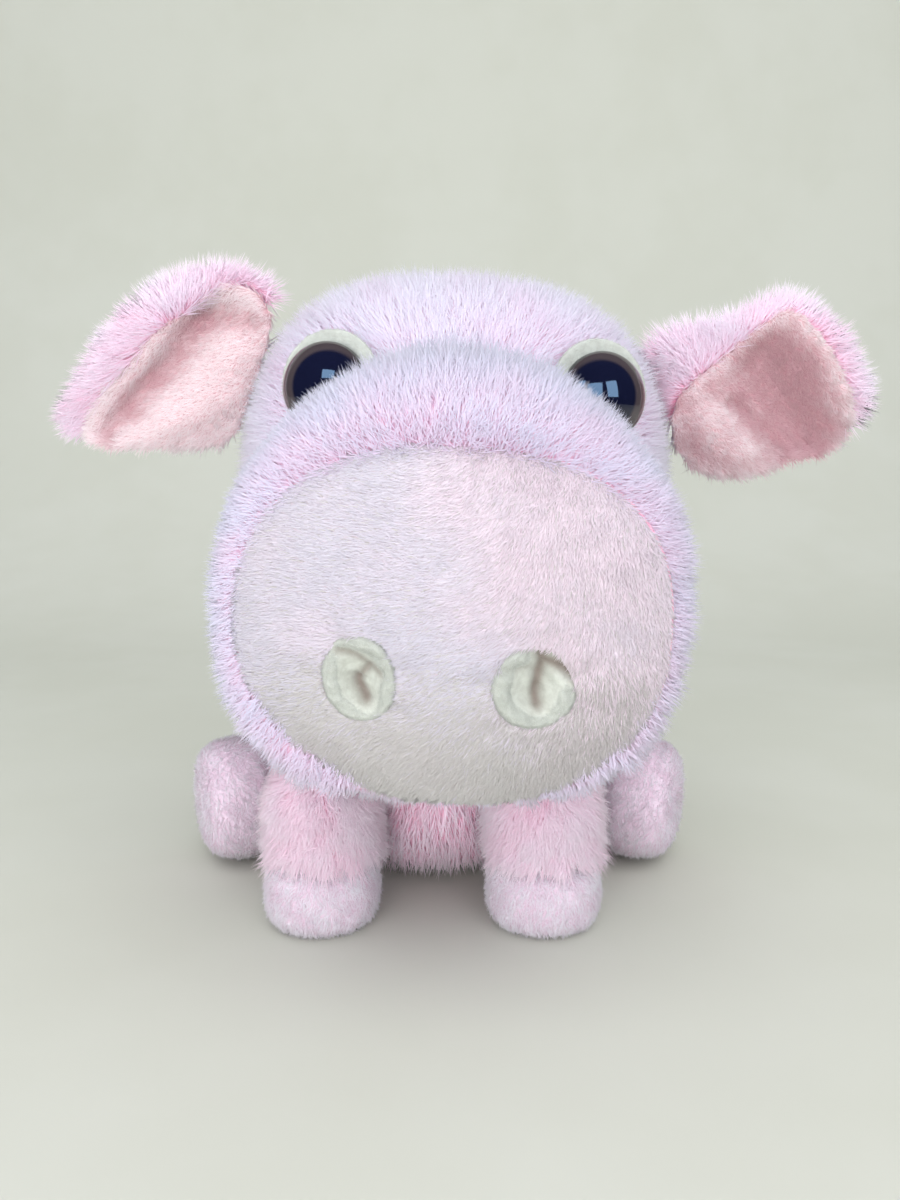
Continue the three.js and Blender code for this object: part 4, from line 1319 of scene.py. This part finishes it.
        def reach(p: Points, n: Points) -> Points:
            """Longer at the lower edge and at the top."""
            flat = self.spot.to(p)[:, :2] / MM
            ends = np.maximum(ramp(-flat[:, 1], 8, 28), ramp(flat[:, 1], 14, 24))
            return 0.9 + 1.2 * by_edge(flat, 5) * ends

        Strands(length=2.3 * MM, width=0.22 * MM, lean=50, bend=28, stray=0.4, tuft=2.6 * MM,
                gather=0.2, tuft_stray=0.4, sag=0.0, uneven=0.5, speckle=0.7).cover(
            finishes, ("lining_nap", self.body, "ear_lining"), f"ear_inner_nap_{word}", obj,
            self.lining_strands, 31,
            lambda p, n: self.spot.axes[0] * 0.5 - self.spot.axes[1] * 0.85 + 0 * p,
            keep=lambda p, n: ramp(dot(n, self.spot.axes[2]), -0.25, 0.1), reach=reach, tone=tone)

    @property
    def middle(self) -> Points:
        """A place in the lining from which all its edge is seen, mm."""
        return np.array((23.0, -6.0) if self.side is Side.LEFT else (32.0, -10.0))

    @property
    def outline(self) -> Sequence[tuple[float, float]]:
        """The lining's edge in the ear's plane, mm outward and up the seam."""
        if self.side is Side.LEFT:
            return ((47, -43.5), (48.7, -35.7), (44.8, -21.6), (41.2, -10.8), (36.2, 2.1),
                    (27.7, 13.4), (23.9, 21.4), (17.3, 27.9), (8.3, 28.1), (1.5, 24.4),
                    (-1.5, 14.9), (-2, 4), (-3, -8.1), (-3.4, -17.9), (-1, -26.5), (10.4, -32.5),
                    (23.4, -38), (36.4, -43.9), (43.3, -45.6))
        return ((46.4, 18.5), (50.6, 15.3), (54.9, 7.6), (58.8, -2.5), (61.2, -13.5),
                (61.5, -23.9), (57, -31.6), (50, -35.2), (42.6, -34.8), (34.3, -33.3),
                (27.6, -34.6), (19.9, -34.5), (11.4, -32.6), (2.5, -27.5), (-1.5, -19),
                (-1.5, -10.6), (1.9, -2.6), (6.6, 1.5), (21.1, 8), (34.1, 14.2))

    def relief(self, q: Points) -> Points:
        """Height of the lining's folds in mm, at places in the ear's plane in mm."""
        if self.side is Side.LEFT:
            rows = ((-3.4, 6.5, ((24.5, 15), (25, 8.5), (29, -9), (37, -29), (38, -39))),
                    (-1.6, 4.5, ((20, 13), (4, 17.5))),
                    (2.0, 8.0, ((8, 4), (12.5, -9), (21, -24))),
                    (1.5, 3.0, ((34.5, -3), (41, -21), (44.5, -37))),
                    (1.2, 4.0, ((1, -8), (7, -16), (19, -29), (30, -37))))
        else:
            rows = ((-4.0, 8.0, ((36, 6), (39, -7), (42, -20), (43, -31))),
                    (-2.4, 2.6, ((22, -8), (28, -16), (32.5, -24), (34.5, -31))),
                    (3.0, 8.5, ((13, -13), (19, -23))),
                    (1.2, 4.0, ((13, 1.5), (27, 7.5), (44, 15))),
                    (1.4, 4.0, ((51, 11), (57, -6), (59, -23))))
        return sum(high * np.exp(-(line_distance(q, rounded(line)) / wide) ** 2)
                   for high, wide, line in rows)

    def fur(self, skin: Piece, finishes: Finishes) -> None:
        """The long pile of the back and its fringe round the lining."""
        def top_of_root(q: Points) -> Points:
            """1 at the seam's upper end, by the head."""
            return (1 - ramp(q[:, :1], 2 * MM, 15 * MM)) * ramp(q[:, 1:2], 4 * MM, 16 * MM)

        def keep(p: Points, n: Points) -> Points:
            """Not under the lining."""
            q = self.spot.to(p)
            front = (n @ self.spot.axes[2] > 0.0) | (q[:, 2] > self.cup(*q[:, :2].T / MM) * MM)
            return 1.0 - ((self.share(q[:, :2] / MM) < 0.97) & front) * 1.0

        def comb(p: Points, n: Points) -> Points:
            """Outward from the ear's middle to its rim, back over the rim, and outward behind."""
            q = self.spot.to(p)
            out = np.stack((q[:, 0] - 20 * MM, q[:, 1] + 6 * MM, 0 * q[:, 0]), axis=1)
            by_head = top_of_root(q)
            out = unit(out) * (1 - by_head) + np.array((-1.0, 0.3, 0.0)) * by_head
            rear = ramp(-(n @ self.spot.axes[2]), 0.4, 0.9).reshape(-1, 1)
            out = out * (1 - rear) + np.array((1.0, -0.3, 0.0)) * rear
            return (out - (0, 0, 0.4)) @ self.spot.axes

        def reach(p: Points, n: Points) -> Points:
            """Shorter by the root and under the lower edge."""
            q = self.spot.to(p)
            low = ramp(-q[:, 1], 24 * MM, 36 * MM) * (1 - ramp(q[:, 0], 40 * MM, 52 * MM))
            by_head = top_of_root(q).ravel()
            return (0.75 + 0.25 * ramp(q[:, 0], 0, 16 * MM) + 0.6 * by_head) * (1 - 0.6 * low)

        Strands(length=10.0 * MM, width=0.3 * MM, lean=44, bend=32, stray=0.3,
                tuft=3.6 * MM, gather=0.4, sag=0.06, tuft_stray=0.3).cover(
            finishes, ("ear_pile", self.body, "long_pile"), f"ear_pile_{self.side.word}", skin,
            self.back_strands, 41, comb, keep=keep, reach=reach,
            tone=lambda p, n: 0.62 + 0.2 * waves(p, 20 * MM, 4))


@dataclass
class Head:
    """The head: its stuffed ball, the barrel muzzle, the panel, eyes and ears."""

    half_wide: float = 79 * MM
    half_tall: float = 78 * MM
    y: float = 6 * MM
    z: float = 155 * MM
    muzzle_z: float = 131.5 * MM
    muzzle_back: float = -26 * MM
    muzzle_front: float = -97 * MM
    pile: float = 3.4 * MM
    neck_gap: float = 38 * MM    # no pile this near to the neck's middle
    head_strands: int = 48000    # twice this many
    muzzle_strands: int = 53000  # twice this many

    def __post_init__(self) -> None:
        """Makes the parts that the head carries."""
        self.panel = Panel()
        self.eyes = [Eye(side) for side in Side]
        self.ears = [Ear(side) for side in Side]
        self.ball_pad = Pad("head_form", ("head_skin", "head_stuffing"), inset=self.pile,
                            voxel=5 * MM)
        back = LEAN.out(np.array((0.0, self.muzzle_back, self.muzzle_z)))
        self.muzzle_pad = Pad("muzzle_form", ("muzzle_skin", "head_stuffing"), inset=self.pile,
                              voxel=4.5 * MM, cuts=((back, np.array((0.0, 1.0, 0.0))),),
                              spare=self.muzzle_depth)
        self.ear_pads = [ear.back_pad() for ear in self.ears]

    @property
    def pads(self) -> list[Pad]:
        """The stuffed forms of the head."""
        return [self.ball_pad, self.muzzle_pad, *self.ear_pads]

    def muzzle_depth(self, p: Points, n: Points) -> Points:
        """The backing meets the panel's seam in front, and lies deep behind it."""
        q = LEAN.back(p)
        deep = 0.75 + 0.5 * self.left_band(q, 40, 62)
        return 0.25 + deep * ramp(q[:, 1], self.muzzle_front, self.muzzle_front + 16 * MM)

    @staticmethod
    def left_band(q: Points, low: float, high: float) -> Points:
        """1 on the muzzle's left below the eye, from low to high mm across."""
        return ramp(-q[:, 0], low * MM, high * MM) * (1 - ramp(q[:, 2], 150 * MM, 178 * MM))

    def outside_muzzle(self, p: Points) -> Points:
        """1 outside the barrel's core."""
        q = LEAN.back(p)
        size = ((np.abs(q[:, 0]) / (60 * MM)) ** 2.3
                + (np.abs(q[:, 2] - self.muzzle_z) / (55 * MM)) ** 2.3)
        return 1.0 - (size < 1) * (q[:, 1] < -20 * MM)

    def build(self, finishes: Finishes) -> None:
        """Dresses the stuffed forms and grows their pile."""
        ball_form, muzzle_form = self.ball_pad.obj, self.muzzle_pad.obj
        for form, nodes in ((ball_form, ("head_skin", "head_stuffing")),
                            (muzzle_form, ("muzzle_skin",))):
            finishes.fit(form, "pile_backing", "head", "long_pile", *nodes, fill=0.95)
        co = places(muzzle_form)
        q = LEAN.back(co)
        share = self.panel.share(co)
        front = 1 - ramp(q[:, 1], -90 * MM, -80 * MM)
        behind = (1 - ramp(share, 0.82, 1.0)) * 12 * MM + (1 - ramp(share, 1.0, 1.12)) * 2 * MM
        put(muzzle_form, co + np.array((0, 1, 0)) * (behind * front)[:, None])
        self.head_fur(ball_form, finishes)
        self.muzzle_fur(muzzle_form, finishes)
        self.panel.build(finishes)
        for nostril in self.panel.nostrils:
            nostril.build(finishes)
        for eye in self.eyes:
            eye.dome(finishes)
            eye.ring(finishes)
            finishes.dress(frame["nodes"][f"eye_washer_{eye.side.word}"], "washer_plastic")
        for ear, pad in zip(self.ears, self.ear_pads):
            finishes.fit(pad.obj, "pile_backing", ear.body, "long_pile",
                         f"ear_back_{ear.side.word}", fill=0.4)
            ear.hollow(pad.obj)
            ear.lining(finishes)
            ear.fur(pad.obj, finishes)

    def head_fur(self, skin: Piece, finishes: Finishes) -> None:
        """The pile of the head's ball."""
        def comb(p: Points, n: Points) -> Points:
            """Up and back from the face, round the eyes, and down the back of the head."""
            q = LEAN.back(p)
            rear = ramp(q[:, 1], 0, 60 * MM)
            rise = (q[:, 2] - 150 * MM) * (1 - rear) - 80 * MM * rear
            v = np.stack((q[:, 0] * 0.8, np.full(len(q), 45 * MM), rise), axis=1)
            v = unit(v) - UP * 0.25
            for eye in self.eyes:
                r = eye.spot.to(p)
                inner = eye.inner(r[:, :1])
                near = np.exp(-(np.linalg.norm(r, axis=1, keepdims=True) / (23 * MM)) ** 4)
                away = (LEAN.turn.T @ (unit(r * (1, 1, 0)) @ eye.spot.axes).T).T
                v = v - away * np.minimum(dot(v, away), 0) * near * (1 - inner)
                v = v - away * 1.6 * near * inner
            return LEAN.way(v)

        def keep(p: Points, n: Points) -> Points:
            """Not under the muzzle, the eyes or the neck."""
            out = self.outside_muzzle(p)
            for eye in self.eyes:
                out = out * eye.clear(p, 14.8 * MM)
            return out * (LEAN.from_neck(p) > self.neck_gap)

        def reach(p: Points, n: Points) -> Points:
            """Shorter round the eyes, but for the side by the muzzle."""
            share = 0.92 + 0.2 * ramp(LEAN.back(p)[:, 2], 190 * MM, 225 * MM)
            for eye in self.eyes:
                q = eye.spot.to(p)
                near = 0.42 + 0.53 * eye.inner(q[:, 0])
                share = share * (near + (1 - near) * ramp(size_of(q), 17 * MM, 28 * MM))
            return share

        fur = Strands(length=11.2 * MM, width=0.3 * MM, lean=32, bend=34, stray=0.4,
                      tuft=3.6 * MM, gather=0.18, tuft_stray=0.34, sag=0.03, uneven=0.2)
        for word, seed in (("a", 1), ("b", 2)):
            fur.cover(finishes, ("long_pile", "head", "long_pile"), f"head_pile_{word}", skin,
                      self.head_strands, seed, comb, keep=keep, reach=reach,
                      tone=lambda p, n: 0.55 + 0.18 * waves(p, 30 * MM, 2))

    def muzzle_fur(self, skin: Piece, finishes: Finishes) -> None:
        """The pile of the barrel, which stands away from the panel's seam."""
        panel = self.panel

        def comb(p: Points, n: Points) -> Points:
            """Outward from the panel, then back."""
            q = LEAN.back(p)
            out = unit(np.stack(((q[:, 0] - panel.x) / panel.half_wide, 0 * q[:, 0],
                                 (q[:, 2] - panel.z) / panel.half_tall), axis=1))
            behind = ramp(q[:, 1:2], self.muzzle_front, -75 * MM)
            foot = ramp(panel.z - q[:, 2:], 22 * MM, 48 * MM) * np.exp(-(q[:, :1] / (38 * MM)) ** 2)
            v = out * (1.15 - 0.6 * behind) + np.array((0, 1, 0)) * (0.35 + 0.65 * behind + foot)
            return LEAN.way(v) - UP * 0.3

        def keep(p: Points, n: Points) -> Points:
            """Outside the panel's rim."""
            q = LEAN.back(p)
            out = 1.0 - (panel.share(p) < 0.95) * (q[:, 1] < -80 * MM)
            out = out * (q[:, 1] < -24 * MM)
            for eye in self.eyes:
                out = out * eye.clear(p, 12.8 * MM, ring=False)
            return out

        def reach(p: Points, n: Points) -> Points:
            """Shorter at the seam and on top by the eyes."""
            q = LEAN.back(p)
            low = ramp(panel.z - q[:, 2], 22 * MM, 48 * MM)
            foot = low * np.exp(-((q[:, 0] - panel.x) / (34 * MM)) ** 2)
            top = ramp(q[:, 2] - self.muzzle_z, 20 * MM, 50 * MM)
            left = self.left_band(q, 30, 60)
            share = 0.72 + 0.42 * top * ramp(q[:, 1], self.muzzle_front, -84 * MM)
            share = share * (1 - 0.12 * low - 0.5 * foot) * (1 - 0.25 * left)
            share = share * (1 + (0.08 + 0.3 * low) * waves(p, 11 * MM, 18))
            for eye in self.eyes:
                r = eye.spot.to(p)
                near = 0.2 + 0.36 * ramp(-r[:, 0] * eye.side.value, 3 * MM, 14 * MM)
                far = ramp(size_of(r[:, :2]), 17 * MM, 40 * MM)
                share = share * (near + (1 - near) * far)
            return share

        def tone(p: Points, n: Points) -> Points:
            """Greyer on top, and on the left as painted shade; pinker at the right side and by the
            seam.
            """
            q = LEAN.back(p)
            high = ramp(q[:, 2], 150 * MM, 185 * MM)
            seam = 1 - ramp(q[:, 1], self.muzzle_front, -86 * MM)
            # Painted shade: the muzzle's left side is pushed toward the greyer strands.
            left = ramp(-q[:, 0], 30 * MM, 62 * MM)
            return 0.5 + 0.3 * np.maximum(high, left) - 0.4 * seam + 0.14 * waves(p, 24 * MM, 9)

        fur = Strands(length=11.0 * MM, width=0.32 * MM, lean=32, bend=36, stray=0.4,
                      tuft=3.8 * MM, gather=0.2, tuft_stray=0.36, sag=0.05, uneven=0.25)
        for word, seed in (("a", 5), ("b", 6)):
            fur.cover(finishes, ("muzzle_pile", "head", "long_pile"), f"muzzle_pile_{word}", skin,
                      self.muzzle_strands, seed, comb, keep=keep, reach=reach, tone=tone)


# The body.


def front_leg_at(side: Side, y: float, z: float) -> Points:
    """A place on a front leg's axis, y and z in mm before the shift."""
    return np.array((side.value * 40.8 - 1.6, y, z)) * MM + np.array(LEAN.shift)


def hip_at(side: Side) -> Points:
    """The middle of a hip."""
    return np.array((side.value * 50.0, 50.0, 27.0)) * MM + np.array(LEAN.shift)


@dataclass
class Leg:
    """One leg: a long-pile sleeve that hangs over a short-pile hoof."""

    side: Side
    front: bool
    hem: Points                   # a point in the plane where the sleeve ends
    out: Points                   # the way from the body to the sole
    sole: Points                  # the middle of the hoof

    @classmethod
    def pair(cls) -> list["Leg"]:
        """The four legs."""
        out = []
        turn = math.radians(26)  # a hind leg's, from straight sideways toward the front
        for side in Side:
            out.append(cls(side, True, front_leg_at(side, -20, 24), -UP,
                           front_leg_at(side, -22, 8)))
            way = np.array((side.value * math.cos(turn), -math.sin(turn), 0.0))
            hip = hip_at(side)
            out.append(cls(side, False, hip + way * 30 * MM, way, hip + way * 46 * MM))
        return out

    @property
    def word(self) -> str:
        """Front or hind, in names."""
        return "front" if self.front else "hind"

    @property
    def strands(self) -> tuple[int, int]:
        """How many stand on the sleeve and on the hoof."""
        return (22000, 11000) if self.front else (10500, 8000)

    @property
    def body(self) -> str:
        """The body that the leg rides on."""
        return f"{self.word}_leg_{self.side.word}"

    def make_pads(self) -> list[Pad]:
        """The stuffed sleeve and the stuffed hoof."""
        word, side = self.word, self.side.word
        stuffing = f"{word}_leg_stuffing_{side}"
        self.sleeve = Pad(f"{word}_sleeve_form_{side}", (f"{word}_leg_{side}", stuffing),
                          inset=2.4 * MM, voxel=3.2 * MM, swell=1.2 * MM,
                          cuts=((self.hem, self.out),))
        self.hoof = Pad(f"{word}_hoof_form_{side}", (f"{word}_hoof_{side}", stuffing),
                        inset=0.9 * MM, voxel=2.8 * MM, swell=1.0 * MM,
                        cuts=((self.hem - self.out * 2 * MM, -self.out),))
        return [self.sleeve, self.hoof]

    def build(self, finishes: Finishes) -> None:
        """Dresses the leg and grows its pile."""
        word, side = self.word, self.side.word
        finishes.fit(self.sleeve.obj, "pile_backing", self.body, "long_pile", f"{word}_leg_{side}",
                     f"{word}_leg_stuffing_{side}", fill=0.85)
        finishes.fit(self.hoof.obj, "hoof_cloth", self.body, "hoof_nap", f"{word}_hoof_{side}",
                     fill=0.9)

        def down(p: Points, n: Points) -> Points:
            """Along the leg, and down."""
            return self.out + 0 * p - UP * 0.5

        def rim(p: Points, n: Points) -> Points:
            """Longer at the hem."""
            far = (self.hem - p) @ self.out
            return 1.0 + (0.25 + 0.25 * waves(p, 7 * MM, 19)) * (1 - ramp(far, 0, 8 * MM))

        Strands(length=9.0 * MM, width=0.3 * MM, lean=38, bend=34, stray=0.4, tuft=4.4 * MM,
                gather=0.5, tuft_stray=0.65, sag=0.08, uneven=0.5, speckle=1.3).cover(
            finishes, ("leg_pile", self.body, "long_pile"), f"{word}_sleeve_pile_{side}",
            self.sleeve.obj, self.strands[0], 71 + self.side.value, down,
            keep=lambda p, n: 1.0 - (n @ self.out > 0.75) * 1.0, reach=rim,
            tone=lambda p, n: 0.55 + 0.2 * waves(p, 22 * MM, 7))

        def spread(p: Points, n: Points) -> Points:
            """Away from the sole's middle and down."""
            return unit(p - self.sole) * 0.7 + self.out * (0.8 if self.front else 0.1) - UP * 0.3

        Strands(length=2.8 * MM, width=0.27 * MM, lean=50, bend=30, stray=0.5, tuft=2.8 * MM,
                gather=0.25, tuft_stray=0.6, sag=0.02, uneven=0.5).cover(
            finishes, ("hoof_pile", self.body, "hoof_nap"), f"{word}_hoof_pile_{side}",
            self.hoof.obj, self.strands[1], 81 + self.side.value, spread,
            keep=lambda p, n: (p[:, 2] > 1.5 * MM) * 1.0,
            tone=lambda p, n: 0.55 + 0.25 * waves(p, 12 * MM, 12))


@dataclass
class Torso:
    """The egg of the body, its bean pouch and its curled tail."""

    middle: tuple[float, float, float] = (-8.235 * MM, 39.7 * MM, 42 * MM)
    neck_gap: float = 34 * MM    # no pile this near to the neck's middle,
    neck_foot: float = 66 * MM   # above this height
    leg_gap: float = 24.5 * MM   # no pile this near to a front leg's axis
    hip_gap: float = 25 * MM     # no pile this near to a hip
    strands: int = 17000
    tail_strands: int = 4000

    def make_pads(self) -> list[Pad]:
        """The stuffed body."""
        self.pad = Pad("body_form", ("body_skin", "body_stuffing", "bean_pouch"), inset=3.8 * MM,
                       voxel=4.5 * MM, swell=2.0 * MM)
        return [self.pad]

    def build(self, finishes: Finishes) -> None:
        """Dresses the body, the pouch and the tail."""
        finishes.fit(self.pad.obj, "pile_backing", "torso", "long_pile", "body_skin",
                     "body_stuffing", fill=0.9)
        Strands(length=9.0 * MM, width=0.5 * MM, lean=42, bend=32, tuft=4.4 * MM,
                gather=0.25, sag=0.08).cover(
            finishes, ("leg_pile", "torso", "long_pile"), "body_pile", self.pad.obj,
            self.strands, 91, self.comb, keep=self.keep,
            tone=lambda p, n: 0.58 + 0.2 * waves(p, 26 * MM, 14))
        pouch = copy_of("bean_bag", "bean_pouch")
        subdivide(pouch, 2)
        co = places(pouch)
        depth = 0.8 * MM + 0.5 * MM * waves(co, 7 * MM, 17)
        put(pouch, co - upright_normals(pouch) * depth[:, None])
        smooth(pouch)
        finishes.fit(pouch, "pouch_cloth", "torso", "pouch_cloth", "bean_pouch", fill=0.5)
        self.tail(finishes)

    def comb(self, p: Points, n: Points) -> Points:
        """Down and back."""
        q = p - self.middle
        return np.stack((q[:, 0] * 4, 0.25 + 0 * q[:, 1], np.full(len(q), -0.9)), axis=1)

    def keep(self, p: Points, n: Points) -> Points:
        """Not under the head's neck cut, the legs or the sole."""
        out = 1.0 - ((LEAN.from_neck(p) < self.neck_gap) & (p[:, 2] > self.neck_foot)) * 1.0
        for side in Side:
            out = out * (size_of((p - front_leg_at(side, -20, 0))[:, :2]) > self.leg_gap)
            out = out * (size_of(p - hip_at(side)) > self.hip_gap)
        return out * (p[:, 2] > 1.2 * MM)

    def tail(self, finishes: Finishes) -> None:
        """The short curl with its own pile."""
        obj = copy_of("tail_form", "tail")
        finish_with(obj, "REMESH", mode="VOXEL", voxel_size=1.0 * MM)
        finish_with(obj, "SMOOTH", factor=0.5, iterations=5)
        put(obj, places(obj) - upright_normals(obj) * 0.7 * MM)
        smooth(obj)
        finishes.fit(obj, "pile_backing", "tail", "long_pile", "tail", fill=0.8)
        Strands(length=4.5 * MM, width=0.35 * MM, lean=40, bend=30, tuft=2.6 * MM,
                gather=0.4).cover(
            finishes, ("long_pile", "tail", "long_pile"), "tail_pile", obj,
            self.tail_strands, 95, lambda p, n: np.array((0.2, 0.8, -0.6)) + 0 * p)


# The room.


@dataclass(frozen=True)
class Lamp:
    """One soft area light that looks at a point."""

    name: str
    place: tuple[float, float, float]
    power: float
    wide: float
    tall: float
    colour: tuple[float, float, float] = (1.0, 1.0, 1.0)
    aim: tuple[float, float, float] = (0.0, -0.02, 0.12)
    glossy: bool = True                           # whether shiny things mirror it
    diffuse: bool = True                          # whether it lights the cloth

    def hang(self) -> None:
        """Adds the light."""
        data = bpy.data.lights.new(self.name, "AREA")
        data.shape, data.size, data.size_y = "RECTANGLE", self.wide, self.tall
        data.energy, data.color = self.power, self.colour
        obj = bpy.data.objects.new(self.name, data)
        bpy.context.collection.objects.link(obj)
        obj.location = self.place
        obj.visible_glossy, obj.visible_diffuse = self.glossy, self.diffuse
        way = Vector(self.aim) - Vector(self.place)
        obj.rotation_euler = way.to_track_quat("-Z", "Y").to_euler()


@dataclass
class Studio:
    """The camera at the photograph's place, a pale floor and soft light."""

    eye: tuple[float, float, float] = (-3.485 * MM, -361.28 * MM, 166 * MM)
    down: float = 8.0
    lens: float = 28.5

    def camera(self) -> None:
        """Adds the camera."""
        data = bpy.data.cameras.new("view")
        data.lens, data.sensor_width, data.sensor_fit = self.lens, 36.0, "AUTO"
        data.clip_start, data.clip_end = 0.01, 20.0
        obj = bpy.data.objects.new("view", data)
        bpy.context.collection.objects.link(obj)
        obj.location = self.eye
        obj.rotation_euler = (math.radians(90 - self.down), 0, 0)
        bpy.context.scene.camera = obj

    def room(self, finishes: Finishes) -> None:
        """Adds the floor that curves up to a wall."""
        bpy.ops.object.select_all(action="DESELECT")
        bpy.ops.mesh.primitive_plane_add(size=6, location=(0, 0, 0))
        floor = bpy.context.active_object
        floor.name = "floor"
        with editing():
            bpy.ops.mesh.subdivide(number_cuts=60)
        co = places(floor)
        over = np.maximum(co[:, 1] - 0.5, 0)
        bend = np.minimum(over / 0.6, math.pi / 2)
        rise = 0.6 * (1 - np.cos(bend)) + np.maximum(over - 0.6 * math.pi / 2, 0)
        co[:, 1] = np.where(over > 0, 0.5 + 0.6 * np.sin(bend), co[:, 1])
        co[:, 2] = rise
        put(floor, co)
        smooth(floor)
        finishes.dress(floor, "floor_paper")

    @staticmethod
    def windows() -> list[Lamp]:
        """Bright panes that only the shiny eyes mirror."""
        rows = (("left", (-43, -51, 191), (-0.3, -0.82, 0.49), 0.4, 0.26, 2.6),
                ("right_a", (46, -49, 188), (0.15, -0.94, 0.3), 0.56, 0.44, 6.0),
                ("right_b", (46, -49, 188), (0.62, -0.7, 0.3), 0.34, 0.44, 3.6))
        panes = []
        for word, eye, way, wide, tall, power in rows:
            aim = tuple(np.array(eye) * MM)
            place = tuple(np.array(eye) * MM + 1.1 * unit(np.array(way)))
            panes.append(Lamp(f"window_{word}", place, power, wide, tall, (0.38, 0.64, 1.0), aim,
                              diffuse=False))
        return panes

    def light(self) -> None:
        """Adds the soft lights and the room's own light."""
        for lamp in (
            Lamp("key", (0.1, -0.8, 1.35), 10.9, 1.6, 1.4, (1.0, 0.99, 0.97), glossy=False),
            Lamp("front", (0.15, -1.35, 0.5), 6.1, 1.8, 1.0, glossy=False),
            Lamp("fill", (0.9, -1.0, 0.35), 2.5, 1.4, 1.0, (0.97, 0.98, 1.0), glossy=False),
            Lamp("low", (-0.35, -0.9, 0.06), 6.8, 1.0, 0.4, aim=(-0.02, 0.0, 0.04), glossy=False),
            *self.windows(),
        ):
            lamp.hang()
        world = bpy.data.worlds.new("room")
        world.use_nodes = True
        back = world.node_tree.nodes["Background"]
        back.inputs["Color"].default_value = tint(232, 236, 242)
        back.inputs["Strength"].default_value = 0.86
        world.cycles_visibility.glossy = False
        bpy.context.scene.world = world
        bpy.context.scene.view_settings.view_transform = "Standard"


def main() -> None:
    """Builds the pig and the room round it."""
    logging.basicConfig(level=logging.INFO, format="%(name)s %(message)s")
    studio = Studio()
    studio.camera()
    finishes = Finishes()
    head, torso, legs = Head(), Torso(), Leg.pair()
    pads = head.pads + torso.make_pads() + [pad for leg in legs for pad in leg.make_pads()]
    for pad in pads:
        pad.start()
    fill(pads)
    head.build(finishes)
    torso.build(finishes)
    for leg in legs:
        leg.build(finishes)
    studio.room(finishes)
    studio.light()


if __name__ == "__main__":
    main()
